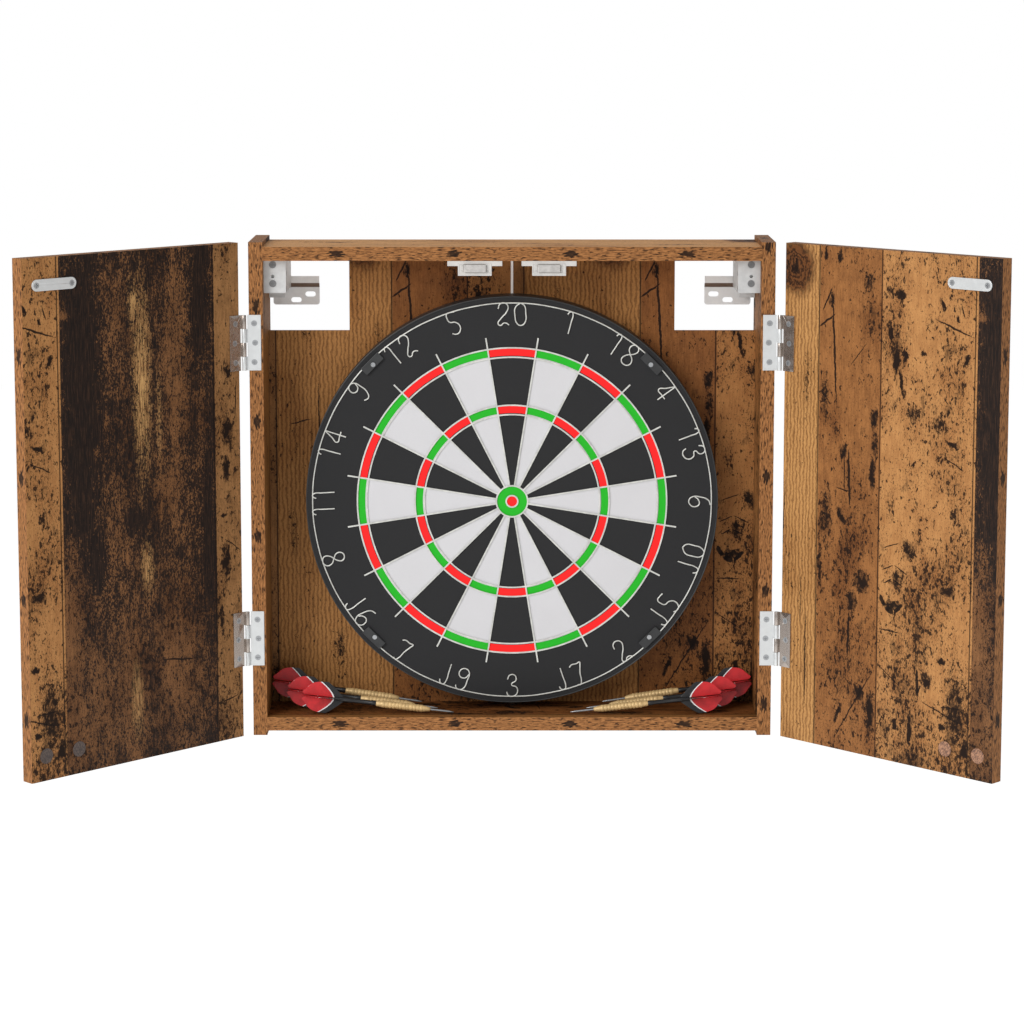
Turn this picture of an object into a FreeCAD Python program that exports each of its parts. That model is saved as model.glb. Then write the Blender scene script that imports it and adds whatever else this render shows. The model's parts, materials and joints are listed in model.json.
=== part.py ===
import FreeCAD, Part
import os
import Sketcher
from FreeCAD import Placement, Rotation, Vector

# Wall-hung dart board cabinet, millimetres. +X right, +Y towards the wall, +Z up.
# The origin lies on the wall plane, straight behind the bull's centre.
# The doors stand open at the angle door_turn; each is drawn closed about its own
# hinge axis and then turned.

DRIVING_DIMENSIONS = (
    ("cabinet_width", 565.0, "over the two side panels"),
    ("cabinet_depth", 100.0, "wall to the front edges"),
    ("side_height", 540.0, "side panels and doors"),
    ("top_above_bull", 287.0, "side panel tops above the bull's centre"),
    ("panel_thick", 15.0, "laminated board of carcass and doors"),
    ("side_overhang", 5.0, "sides stand past the top and bottom panels"),
    ("back_recess", 74.0, "front edges to the back panel"),
    ("back_thick", 3.0, "back panel"),
    ("notch_wide", 89.0, "cut-out of the back panel round a hanger"),
    ("notch_tall", 83.0, "cut-out of the back panel round a hanger"),
    ("strip_face", 2.6, "visible flange of the joining strip"),
    ("strip_web", 1.2, "web between the two back panels"),
    ("strip_back", 12.0, "rear flange of the joining strip"),
    ("strip_thick", 0.8, "flanges of the joining strip"),
    ("door_gap", 5.0, "closed door to the front edges"),
    ("door_clear", 1.0, "closed door edge to the middle plane"),
    ("door_turn", 135.0, "open angle of the doors, degrees"),
    ("axis_offset", 5.1, "hinge axis outside the side panel"),
    ("hinge_inset", 108.0, "hinge centre from the end of the side panel"),
    ("leaf_long", 60.0, "hinge leaf along the axis"),
    ("leaf_start", 3.6, "leaf plate from the hinge axis"),
    ("leaf_reach", 18.0, "far edge of the leaf from the hinge axis"),
    ("leaf_thick", 1.2, "hinge leaf"),
    ("pin_radius", 1.3, "hinge pin"),
    ("running_clear", 0.05, "radial clearance of pins and bores"),
    ("knuckle_clear", 0.15, "end clearance of each knuckle"),
    ("leaf_screw", 10.8, "outer leaf screws from the hinge axis"),
    ("leaf_screw_mid", 11.7, "middle leaf screw from the hinge axis"),
    ("leaf_screw_step", 21.0, "outer leaf screws from the leaf's middle"),
    ("strike_centre", 247.1, "strike plate centre from the hinge axis"),
    ("strike_above_bull", 259.0, "strike plate and magnet height"),
    ("strike_long", 55.0, "strike plate"),
    ("strike_tall", 12.0, "strike plate"),
    ("strike_thick", 1.5, "strike plate"),
    ("strike_screw_step", 22.0, "strike screws from the plate's centre"),
    ("cap_near", 226.5, "inner cover cap from the hinge axis"),
    ("cap_far", 268.0, "outer cover cap from the hinge axis"),
    ("cap_above_base", 26.0, "cover caps above the door's lower edge"),
    ("cap_radius", 8.0, "cover cap"),
    ("cap_thick", 0.5, "cover cap"),
    ("catch_centre", 39.8, "magnetic catch from the middle plane"),
    ("catch_flange", 59.0, "catch housing over its ears"),
    ("catch_body", 36.4, "catch housing below its ears"),
    ("catch_ear", 5.6, "catch ears below the top panel"),
    ("catch_tall", 16.0, "catch housing below the top panel"),
    ("catch_deep", 15.0, "catch housing"),
    ("magnet_wide", 24.0, "magnet insert"),
    ("magnet_tall", 8.0, "magnet insert"),
    ("magnet_proud", 3.2, "magnet insert in front of the front edges"),
    ("magnet_gap", 0.1, "magnet insert to its pocket"),
    ("hanger_wide", 24.0, "hanger body"),
    ("hanger_tall", 36.0, "hanger body below the top panel"),
    ("hanger_recess", 15.0, "front edges to the hanger body"),
    ("hanger_rear", 9.5, "hanger body to the wall"),
    ("hanger_nose", 19.0, "solid nose of the hanger body"),
    ("tail_wide", 17.0, "tail of the hanger body"),
    ("tail_drop", 12.2, "tail below the hanger body"),
    ("tail_thick", 2.5, "tail of the hanger body"),
    ("hook_wide", 12.0, "hook arm"),
    ("hook_side", 6.0, "hook arm from the side panel"),
    ("hook_tall", 8.0, "hook arm"),
    ("hook_travel", 4.0, "height adjustment each way"),
    ("hook_clear", 0.5, "hook arm to its channel"),
    ("adjuster_side", 9.9, "adjusting screws from the side panel"),
    ("adjuster_high", 5.4, "height screw below the top panel"),
    ("adjuster_low", 25.9, "depth screw below the top panel"),
    ("hanger_screw_high", 15.6, "upper hanger screw below the top panel"),
    ("hanger_screw_low", 32.5, "lower hanger screw below the top panel"),
    ("sight_radius", 1.9, "sight hole between the adjusting screws"),
    ("sight_deep", 6.0, "sight hole"),
    ("sight_rise", 7.8, "sight hole above the depth screw"),
    ("hook_rest", 0.3, "hook arm above the rail"),
    ("hook_inside", 6.0, "hook arm's inner end behind the nose"),
    ("lip_near", 3.0, "hook lip's rear face from the wall"),
    ("lip_far", 5.4, "hook lip's front face from the wall"),
    ("lip_drop", 5.8, "hook lip below the arm"),
    ("adjuster_head", 3.7, "adjusting screw head radius"),
    ("adjuster_head_long", 1.6, "adjusting screw head"),
    ("adjuster_proud", 0.4, "adjusting screw head in front of the hanger"),
    ("adjuster_seat", 2.0, "counterbore of the adjusting screws"),
    ("adjuster_cross", 0.9, "cross recess of the adjusting screws, wide"),
    ("adjuster_cross_deep", 0.5, "cross recess behind the front of the hanger"),
    ("adjuster_shank", 2.0, "adjusting screw shank radius"),
    ("adjuster_long", 14.0, "adjusting screw shank"),
    ("plate_side", 3.8, "wall plate from the side panel's inner face"),
    ("plate_wide", 51.0, "wall plate"),
    ("plate_thick", 1.8, "wall plate"),
    ("plate_base", 210.0, "wall plate's lower edge above the bull"),
    ("plate_bend", 19.4, "flat part of the wall plate"),
    ("plate_slope", 4.4, "rise of the bend"),
    ("plate_stand", 8.0, "rail's front face from the wall"),
    ("plate_tall", 32.0, "wall plate with its rail"),
    ("plate_corner", 3.0, "rounded lower corners of the wall plate"),
    ("slot_long", 11.4, "wall plate slot, end to end"),
    ("slot_radius", 2.9, "wall plate slot, half its width"),
    ("slot_high_x", 222.7, "upper slot from the middle plane"),
    ("slot_high_z", 221.7, "upper slot above the bull"),
    ("slot_low_x", 238.4, "lower slot from the middle plane"),
    ("slot_low_z", 215.3, "lower slot above the bull"),
    ("board_radius", 225.5, "dart board over its band"),
    ("board_thick", 32.0, "dart board"),
    ("board_recess", 36.5, "front edges to the board's face"),
    ("band_thick", 1.4, "rim band"),
    ("wire_wide", 1.6, "spider wire"),
    ("wire_tall", 1.2, "spider wire above the face"),
    ("double_radius", 170.0, "outside of the double ring"),
    ("treble_radius", 107.0, "outside of the treble ring"),
    ("score_band", 10.3, "width of the double and treble rings"),
    ("bull_radius", 18.0, "outer bull"),
    ("bull_core", 7.2, "inner bull"),
    ("spoke_end", 182.0, "end of the radial wires"),
    ("ring_radius", 218.2, "number ring"),
    ("ring_wire", 2.0, "number ring wire"),
    ("numeral_tall", 25.0, "numeral height"),
    ("numeral_wire", 1.8, "numeral wire"),
    ("numeral_gap", 5.0, "between the two digits of a number"),
    ("clip_long", 26.0, "number ring clip"),
    ("clip_foot", 8.0, "number ring clip inside the ring"),
    ("clip_lap", 1.6, "half of the clip's hollow over the ring"),
    ("clip_hollow", 2.0, "clip's hollow above the board"),
    ("clip_tall", 3.2, "number ring clip above the board"),
    ("clip_screw_radius", 213.5, "clip screws from the bull"),
    ("clip_shank", 1.2, "clip screw shank radius"),
    ("clip_screw_long", 12.0, "clip screw below its head"),
    ("clip_head", 2.5, "clip screw head radius"),
    ("clip_head_tall", 1.1, "clip screw head"),
    ("bracket_half", 20.0, "raised part of the hanging bracket, half"),
    ("bracket_reach", 40.0, "hanging bracket, half"),
    ("bracket_tall", 15.0, "hanging bracket, half"),
    ("bracket_thick", 1.5, "hanging bracket sheet"),
    ("bracket_proud", 5.0, "hanging bracket in front of the back panel"),
    ("bracket_slot", 2.6, "half the slot of the hanging bracket"),
    ("centre_shank", 2.2, "board's centre screw"),
    ("centre_grip", 15.0, "centre screw inside the board"),
    ("centre_head", 5.0, "centre screw head radius"),
    ("centre_head_tall", 2.0, "centre screw head"),
    ("centre_play", 0.2, "centre screw head to the bracket"),
    ("point_long", 26.0, "dart point"),
    ("point_radius", 1.1, "dart point"),
    ("point_taper", 6.0, "sharpened end of the dart point"),
    ("barrel_long", 60.0, "dart barrel"),
    ("barrel_radius", 4.0, "dart barrel"),
    ("barrel_nose", 2.2, "radius of the barrel's front end"),
    ("barrel_tail", 3.0, "radius of the barrel's rear end"),
    ("barrel_taper", 8.0, "tapered nose of the barrel"),
    ("barrel_rear", 6.0, "tapered tail of the barrel"),
    ("barrel_groove", 0.35, "grooves of the barrel"),
    ("stem_long", 46.0, "dart stem"),
    ("stem_radius", 2.6, "dart stem"),
    ("stem_tip", 2.0, "radius of the stem's rear end"),
    ("stem_taper", 8.0, "front taper of the stem"),
    ("flight_start", 122.0, "front of the flight from the tip"),
    ("flight_long", 44.0, "flight"),
    ("flight_radius", 17.0, "flight from the dart's axis"),
    ("flight_nose", 1.4, "height of the flight's front end"),
    ("flight_thick", 0.5, "flight vane"),
    ("flight_fit", 0.06, "stem slots wider than the vanes"),
    ("dart_roll", 10.0, "vanes turned about the dart's axis, degrees"),
)

DARTS = {
    # name: tip from the middle plane, tip above the bottom panel, depth behind the
    # front edges, slope of the axis in degrees
    "front": (63.8, 1.5, 17.3, 6.6),
    "middle": (81.7, 1.3, 37.0, 7.3),
    "rear": (99.7, 4.0, 56.0, 8.4),
}
NUMBERS = (20, 1, 18, 4, 13, 6, 10, 15, 2, 17, 3, 19, 7, 16, 8, 11, 14, 9, 12, 5)
SECTOR_TURN = 360 / len(NUMBERS)
SIDES = (("left", -1), ("right", 1))
HINGES = (("upper", 1), ("lower", -1))
SAME_PLACE = 0.01

doc = FreeCAD.newDocument("dart_board_cabinet")
sheet = doc.addObject("Spreadsheet::Sheet", "Size")
for row, (name, value, meaning) in enumerate(DRIVING_DIMENSIONS, start=1):
    sheet.set(f"A{row}", name)
    sheet.set(f"B{row}", str(value))
    sheet.setAlias(f"B{row}", name)
    sheet.set(f"C{row}", meaning)
doc.recompute()

nodes = []


def size(name):
    """Value of one driving dimension."""
    return float(sheet.get(name))


def value_of(expression):
    """Number that a sheet expression stands for."""
    return float(sheet.evalExpression(expression))


def node(piece):
    """Mark a finished piece, whose label names its file."""
    nodes.append(piece)
    return piece


def bind(piece, **expressions):
    """Bind properties of a piece to sheet expressions; __ stands for a dot."""
    for prop, expression in expressions.items():
        piece.setExpression(prop.replace("__", "."), expression)
    return piece


def place_at(piece, x="0", y="0", z="0"):
    """Bind the place of a piece."""
    return bind(piece, Placement__Base__x=x, Placement__Base__y=y, Placement__Base__z=z)


# ---- shared places, as sheet expressions -------------------------------------

FRONT = "-Size.cabinet_depth"
FLOOR = "(Size.top_above_bull - Size.side_height + Size.side_overhang + Size.panel_thick)"
CEILING = "(Size.top_above_bull - Size.side_overhang - Size.panel_thick)"
INNER_HALF = "(Size.cabinet_width / 2 - Size.panel_thick)"
BACK_FACE = "(Size.back_recess - Size.cabinet_depth)"
BOARD_FACE = "(Size.board_recess - Size.cabinet_depth)"
AXIS_X = "(Size.cabinet_width / 2 + Size.axis_offset)"
AXIS_Y = "(-Size.cabinet_depth - Size.door_gap / 2)"


def on_door(piece, sign):
    """Turn a piece drawn for the closed door to where the open door holds it."""
    piece.Placement = Placement(Vector(), Rotation(Vector(0, 0, 1), 1))
    place_at(piece, x=f"{sign} * {AXIS_X}", y=AXIS_Y)
    return bind(piece, Placement__Rotation__Angle=f"{sign} * Size.door_turn * 1 deg")


def hinge_height(sign):
    """Height of a hinge's middle: +1 is the upper hinge, -1 the lower."""
    if sign > 0:
        return "(Size.top_above_bull - Size.hinge_inset)"
    return "(Size.top_above_bull - Size.side_height + Size.hinge_inset)"


# ---- ways of making a piece -----------------------------------------------------

def box(label, lengths, corner):
    """A block from its three lengths and its lowest corner."""
    piece = doc.addObject("Part::Box", label)
    bind(piece, Length=lengths[0], Width=lengths[1], Height=lengths[2])
    return place_at(piece, *corner)


def side_box(label, sign, near, far, lows, highs):
    """A block between two distances from the middle plane, on one side of it."""
    low_x = near if sign > 0 else f"-({far})"
    lengths = (f"{far} - ({near})", f"{highs[0]} - ({lows[0]})", f"{highs[1]} - ({lows[1]})")
    return box(label, lengths, (low_x, lows[0], lows[1]))


def rod(label, radius, long, place, direction):
    """A round bar from its foot along a direction."""
    piece = doc.addObject("Part::Cylinder", label)
    bind(piece, Radius=radius, Height=long)
    piece.Placement = Placement(Vector(), Rotation(Vector(0, 0, 1), Vector(*direction)))
    return place_at(piece, *place)


def cut(label, base, tool):
    """The base without the tool, which has to take something away."""
    piece = doc.addObject("Part::Cut", label)
    piece.Base = base
    piece.Tool = tool
    doc.recompute()
    if piece.Shape.Volume >= base.Shape.Volume:
        raise RuntimeError(f"{label}: nothing was cut")
    return piece


def joined(label, pieces):
    """Pieces fused into one solid."""
    piece = doc.addObject("Part::MultiFuse", label)
    piece.Shapes = pieces
    piece.Refine = True
    return piece


def grouped(label, pieces):
    """Separate solids that share a node."""
    piece = doc.addObject("Part::Compound", label)
    piece.Links = pieces
    return piece


def shaped(label, shape):
    """A piece whose shape comes from Part's own functions."""
    piece = doc.addObject("Part::Feature", label)
    piece.Shape = shape
    piece.Placement = Placement()
    return piece


def new_body(label):
    """An empty PartDesign body."""
    return doc.addObject("PartDesign::Body", label)


def origin_feature(body, role):
    """One of the body's own origin planes or axes."""
    return next(item for item in body.Origin.OriginFeatures if item.Role == role)


def sketch_on(body, role, name):
    """A sketch on one of the body's origin planes."""
    sketch = body.newObject("Sketcher::SketchObject", name)
    sketch.AttachmentSupport = (origin_feature(body, role), [""])
    sketch.MapMode = "FlatFace"
    return sketch


def draw_polygon(sketch, corners):
    """A closed outline whose corners are pairs of sheet expressions."""
    points = [Vector(value_of(first), value_of(second), 0) for first, second in corners]
    first_edge = sketch.GeometryCount
    count = len(points)
    for index, point in enumerate(points):
        sketch.addGeometry(Part.LineSegment(point, points[(index + 1) % count]))
    for index in range(count):
        following = first_edge + (index + 1) % count
        sketch.addConstraint(Sketcher.Constraint("Coincident", first_edge + index, 2, following, 1))
    for index, (point, corner) in enumerate(zip(points, corners)):
        for kind, value, expression in zip(("DistanceX", "DistanceY"), point, corner):
            rule = Sketcher.Constraint(kind, -1, 1, first_edge + index, 1, value)
            sketch.setExpression(f"Constraints[{sketch.addConstraint(rule)}]", expression)


def draw_slot(sketch, centre, long, radius):
    """A round-ended slot along the sketch's first axis."""
    middle = Vector(value_of(centre[0]), value_of(centre[1]), 0)
    reach = Vector(value_of(long) / 2 - value_of(radius), 0, 0)
    up = Vector(0, value_of(radius), 0)
    side = Vector(value_of(radius), 0, 0)
    start, end = middle - reach, middle + reach
    sketch.addGeometry(Part.LineSegment(start + up, end + up))
    sketch.addGeometry(Part.Arc(end + up, end + side, end - up))
    sketch.addGeometry(Part.LineSegment(end - up, start - up))
    sketch.addGeometry(Part.Arc(start - up, start - side, start + up))


def pad(body, sketch, long, midplane=False, backwards=False):
    """Pad a sketch along its normal, which is -Y for the XZ plane."""
    feature = body.newObject("PartDesign::Pad", f"{body.Label}_{sketch.Name}_pad")
    feature.Profile = sketch
    feature.Midplane = midplane
    feature.Reversed = backwards
    return bind(feature, Length=long)


def polygon_body(label, role, corners, long, midplane=False, backwards=False):
    """A body made by padding one closed outline."""
    body = new_body(label)
    sketch = sketch_on(body, role, f"{label}_outline")
    draw_polygon(sketch, corners)
    pad(body, sketch, long, midplane, backwards)
    return body


def turned_body(label, outline):
    """A body turned about its own X axis from a half outline of (x, radius) pairs."""
    body = new_body(label)
    sketch = sketch_on(body, "XZ_Plane", f"{label}_outline")
    draw_polygon(sketch, outline)
    turn = body.newObject("PartDesign::Revolution", f"{label}_turn")
    turn.Profile = sketch
    turn.ReferenceAxis = (origin_feature(body, "X_Axis"), [""])
    turn.Angle = 360
    return body


# ---- fasteners ---------------------------------------------------------------------

COUNTERSUNK = {"head": 3.2, "shank": 1.5, "long": 12.0}
LONG_COUNTERSUNK = {"head": 3.2, "shank": 1.5, "long": 30.0}
CARCASS_SCREW = {"head": 4.5, "shank": 2.5, "long": 45.0}
CROSS_WIDE = 0.8
CROSS_DEEP = 0.9
SCREW_GROW = 0.04


def screw_solid(head, shank, long, grow=0.0):
    """A countersunk screw, head up at the origin, with a cross recess.

    A grown screw is the hole that it sits in, and has no recess."""
    cone = Part.makeCone(shank + grow, head + grow, head - shank, Vector(0, 0, shank - head))
    bar = Part.makeCylinder(shank + grow, long - (head - shank) + grow,
                            Vector(0, 0, shank - head), Vector(0, 0, -1))
    screw = cone.fuse(bar).removeSplitter()
    if grow:
        return screw
    for angle in (0, 90):
        blade = Part.makeBox(1.2 * head, CROSS_WIDE, CROSS_DEEP,
                             Vector(-0.6 * head, -CROSS_WIDE / 2, -CROSS_DEEP))
        blade.rotate(Vector(), Vector(0, 0, 1), angle)
        screw = screw.cut(blade)
    return screw


def screw_group(kind, spots, grow=0.0):
    """Equal screws; each spot is the head's middle and the way that the screw points."""
    solids = []
    for place, direction in spots:
        screw = screw_solid(**kind, grow=grow)
        screw.Placement = Placement(Vector(*place), Rotation(Vector(0, 0, -1), Vector(*direction)))
        solids.append(screw)
    return Part.makeCompound(solids)


def screws(label, kind, spots):
    """A node of equal screws."""
    return node(shaped(label, screw_group(kind, spots)))


def holes(label, kind, spots):
    """The holes that equal screws sit in."""
    return shaped(label, screw_group(kind, spots, SCREW_GROW))


def leaf_screw_spots(sign):
    """Screws of one hinge leaf: (x, z) from the hinge axis and the leaf's middle."""
    step = size("leaf_screw_step")
    rows = ((size("leaf_screw"), step), (size("leaf_screw_mid"), 0.0), (size("leaf_screw"), -step))
    return [(-sign * reach, height) for reach, height in rows]


def frame_hinge_spots(sign):
    """Screws of both frame leaves on one side, in the cabinet's frame."""
    spots = []
    for _, up in HINGES:
        middle = value_of(hinge_height(up))
        for x, z in leaf_screw_spots(sign):
            place = (sign * value_of(AXIS_X) + x, value_of(FRONT) - size("leaf_thick"), middle + z)
            spots.append((place, (0, 1, 0)))
    return spots


def door_screw_spots(sign):
    """Hinge and strike plate screws of one closed door, about its hinge axis."""
    inner = -size("door_gap") / 2
    spots = []
    for _, up in HINGES:
        middle = value_of(hinge_height(up))
        for x, z in leaf_screw_spots(sign):
            spots.append(((x, inner + size("leaf_thick"), middle + z), (0, -1, 0)))
    for step in (-size("strike_screw_step"), size("strike_screw_step")):
        place = (-sign * (size("strike_centre") + step), inner + size("strike_thick"),
                 size("strike_above_bull"))
        spots.append((place, (0, -1, 0)))
    return spots


def carcass_spots(sign):
    """Screws through one side panel into the ends of the top and bottom panels."""
    heights = (value_of(CEILING) + size("panel_thick") / 2, value_of(FLOOR) - size("panel_thick") / 2)
    depths = (0.25 * size("cabinet_depth"), 0.75 * size("cabinet_depth"))
    outer = sign * size("cabinet_width") / 2
    return [((outer, -depth, height), (-sign, 0, 0)) for height in heights for depth in depths]


def catch_spots(sign):
    """Screws up through the ears of one catch."""
    reach = (size("catch_flange") + size("catch_body")) / 4
    centre = sign * size("catch_centre")
    low = value_of(CEILING) - size("catch_ear")
    depth = value_of(FRONT) + size("catch_deep") / 2
    return [((centre + step, depth, low), (0, 0, 1)) for step in (-reach, reach)]


def bracket_spots():
    """Screws of the board's hanging bracket."""
    reach = (size("bracket_half") + size("bracket_reach")) / 2
    front = value_of(BACK_FACE) - size("bracket_thick")
    lift = size("bracket_tall") / 2
    return [((x, front, z), (0, 1, 0)) for x in (-reach, reach) for z in (-lift, lift)]


def hanger_spots(sign):
    """Long screws through the hanger's nose into the side panel."""
    face = sign * (value_of(INNER_HALF) - size("hanger_wide"))
    depth = value_of(FRONT) + size("hanger_recess") + size("hanger_nose") / 2
    heights = [value_of(CEILING) - size(drop) for drop in ("hanger_screw_high", "hanger_screw_low")]
    return [((face, depth, height), (sign, 0, 0)) for height in heights]


# ---- carcass --------------------------------------------------------------------------

def side_panel(side, sign):
    """Upright side panel with its screw holes."""
    blank = side_box(f"side_blank_{side}", sign, INNER_HALF, "Size.cabinet_width / 2",
                     (FRONT, "Size.top_above_bull - Size.side_height"), ("0", "Size.top_above_bull"))
    tools = grouped(f"side_holes_{side}", [
        holes(f"side_hinge_holes_{side}", COUNTERSUNK, frame_hinge_spots(sign)),
        holes(f"side_carcass_holes_{side}", CARCASS_SCREW, carcass_spots(sign)),
        holes(f"side_hanger_holes_{side}", LONG_COUNTERSUNK, hanger_spots(sign)),
    ])
    return node(cut(f"side_panel_{side}", blank, tools))


def cross_panel(label, low, catches):
    """Top or bottom panel between the sides."""
    blank = box(f"{label}_blank", (f"2 * {INNER_HALF}", "Size.cabinet_depth", "Size.panel_thick"),
                (f"-{INNER_HALF}", FRONT, low))
    tools = [holes(f"{label}_carcass_holes", CARCASS_SCREW, carcass_spots(-1) + carcass_spots(1))]
    if catches:
        tools.append(holes(f"{label}_catch_holes", COUNTERSUNK, catch_spots(-1) + catch_spots(1)))
    return node(cut(label, blank, grouped(f"{label}_holes", tools)))


def back_panel(side, sign):
    """One half of the back, with the upper outer corner cut out round the hanger."""
    inner = f"{sign} * Size.strip_web / 2 + {sign} * Size.running_clear"
    outer = f"{sign} * {INNER_HALF}"
    step = f"{sign} * ({INNER_HALF} - Size.notch_wide)"
    ledge = f"{CEILING} - Size.notch_tall"
    blank = polygon_body(f"back_blank_{side}", "XZ_Plane", (
        (inner, FLOOR), (outer, FLOOR), (outer, ledge), (step, ledge), (step, CEILING), (inner, CEILING),
    ), "Size.back_thick", backwards=True)
    place_at(blank, y=BACK_FACE)
    tool = holes(f"back_holes_{side}", COUNTERSUNK, [s for s in bracket_spots() if s[0][0] * sign > 0])
    return node(cut(f"back_panel_{side}", blank, tool))


def joining_strip():
    """H-section strip that holds the two back panels edge to edge."""
    face, web, rear = "Size.strip_face / 2", "Size.strip_web / 2", "Size.strip_back / 2"
    front, back = "-Size.strip_thick", "Size.back_thick + Size.strip_thick"
    half = ((face, front), (face, "0 * Size.back_thick"), (web, "0 * Size.back_thick"),
            (web, "Size.back_thick"), (rear, "Size.back_thick"), (rear, back))
    mirrored = tuple((f"-{x}", y) for x, y in reversed(half))
    strip = polygon_body("back_joining_strip", "XY_Plane", half + mirrored,
                         f"{CEILING} - {FLOOR}")
    return node(place_at(strip, y=BACK_FACE, z=FLOOR))


def carcass():
    """Panels, back and the screws that hold them."""
    for side, sign in SIDES:
        side_panel(side, sign)
        back_panel(side, sign)
    cross_panel("top_panel", CEILING, catches=True)
    cross_panel("bottom_panel", f"{FLOOR} - Size.panel_thick", catches=False)
    joining_strip()
    screws("carcass_screws", CARCASS_SCREW, carcass_spots(-1) + carcass_spots(1))


# ---- hinges and doors -------------------------------------------------------------------

def hinge_leaf(label, sign, face, segments, middle):
    """One leaf about its hinge axis: a plate, its knuckles, the pin's bore and screw holes.

    face is +1 for the frame's leaf, which lies behind the axis, and -1 for the door's."""
    knuckle_long = "Size.leaf_long / 4"
    knuckle = "Size.door_gap / 2"
    low_y = f"{knuckle} - Size.leaf_thick" if face > 0 else f"-{knuckle}"
    plate_x = "-Size.leaf_reach" if sign > 0 else "Size.leaf_start"
    plate = ("Size.leaf_reach - Size.leaf_start", "Size.leaf_thick", "Size.leaf_long")
    pieces = [box(f"{label}_plate", plate, (plate_x, low_y, f"{middle} - Size.leaf_long / 2"))]
    for segment in segments:
        low = f"{middle} + Size.leaf_long / 2 - {segment + 1} * {knuckle_long} + Size.knuckle_clear"
        long = f"{knuckle_long} - 2 * Size.knuckle_clear"
        tab_x = "-Size.leaf_start" if sign > 0 else "0"
        pieces.append(box(f"{label}_tab_{segment}", ("Size.leaf_start", "Size.leaf_thick", long),
                          (tab_x, low_y, low)))
        pieces.append(rod(f"{label}_knuckle_{segment}", knuckle, long, ("0", "0", low), (0, 0, 1)))
    blank = joined(f"{label}_blank", pieces)
    bore = rod(f"{label}_bore", "Size.pin_radius + Size.running_clear", "Size.leaf_long + 2",
               ("0", "0", f"{middle} - Size.leaf_long / 2 - 1"), (0, 0, 1))
    surface = face * (size("door_gap") / 2 - size("leaf_thick"))
    spots = [((x, surface, value_of(middle) + z), (0, face, 0))
             for x, z in leaf_screw_spots(sign)]
    drilled = holes(f"{label}_screw_holes", COUNTERSUNK, spots)
    return cut(label, blank, grouped(f"{label}_holes", [bore, drilled]))


def frame_leaves():
    """Leaves on the side panels, their screws and the pins."""
    pins = []
    for side, sign in SIDES:
        for level, up in HINGES:
            leaf = hinge_leaf(f"frame_leaf_{side}_{level}", sign, 1, (1, 3), hinge_height(up))
            node(place_at(leaf, x=f"{sign} * {AXIS_X}", y=AXIS_Y))
            pins.append(rod(f"pin_{side}_{level}", "Size.pin_radius", "Size.leaf_long",
                            (f"{sign} * {AXIS_X}", AXIS_Y, f"{hinge_height(up)} - Size.leaf_long / 2"),
                            (0, 0, 1)))
    node(grouped("hinge_pins", pins))
    screws("frame_hinge_screws", COUNTERSUNK, frame_hinge_spots(-1) + frame_hinge_spots(1))


def strike_plate(side, sign):
    """Round-ended steel plate that the magnet pulls."""
    blank = new_body(f"strike_blank_{side}")
    sketch = sketch_on(blank, "XZ_Plane", f"strike_outline_{side}")
    draw_slot(sketch, (f"{-sign} * Size.strike_centre", "Size.strike_above_bull"),
              "Size.strike_long", "Size.strike_tall / 2")
    pad(blank, sketch, "Size.strike_thick", backwards=True)
    place_at(blank, y="-Size.door_gap / 2")
    tool = holes(f"strike_holes_{side}", COUNTERSUNK, door_screw_spots(sign)[-2:])
    return node(on_door(cut(f"strike_plate_{side}", blank, tool), sign))


def door(side, sign):
    """One door with everything that is fastened to it."""
    low_x = "-Size.cabinet_width / 2 - Size.axis_offset + Size.door_clear" if sign > 0 else "Size.axis_offset"
    wide = "Size.cabinet_width / 2 - Size.door_clear"
    blank = box(f"door_blank_{side}", (wide, "Size.panel_thick", "Size.side_height"),
                (low_x, "-Size.door_gap / 2 - Size.panel_thick", "Size.top_above_bull - Size.side_height"))
    tool = holes(f"door_holes_{side}", COUNTERSUNK, door_screw_spots(sign))
    node(on_door(cut(f"door_{side}", blank, tool), sign))
    for level, up in HINGES:
        leaf = hinge_leaf(f"door_leaf_{side}_{level}", sign, -1, (0, 2), hinge_height(up))
        node(on_door(leaf, sign))
    node(on_door(shaped(f"door_screws_{side}", screw_group(COUNTERSUNK, door_screw_spots(sign))), sign))
    strike_plate(side, sign)
    low = "Size.top_above_bull - Size.side_height + Size.cap_above_base"
    caps = [rod(f"{cap}_{side}", "Size.cap_radius", "Size.cap_thick",
                (f"{-sign} * Size.{cap}", "-Size.door_gap / 2", low), (0, 1, 0))
            for cap in ("cap_near", "cap_far")]
    node(on_door(grouped(f"cover_caps_{side}", caps), sign))


# ---- magnetic catches ---------------------------------------------------------------------

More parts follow.
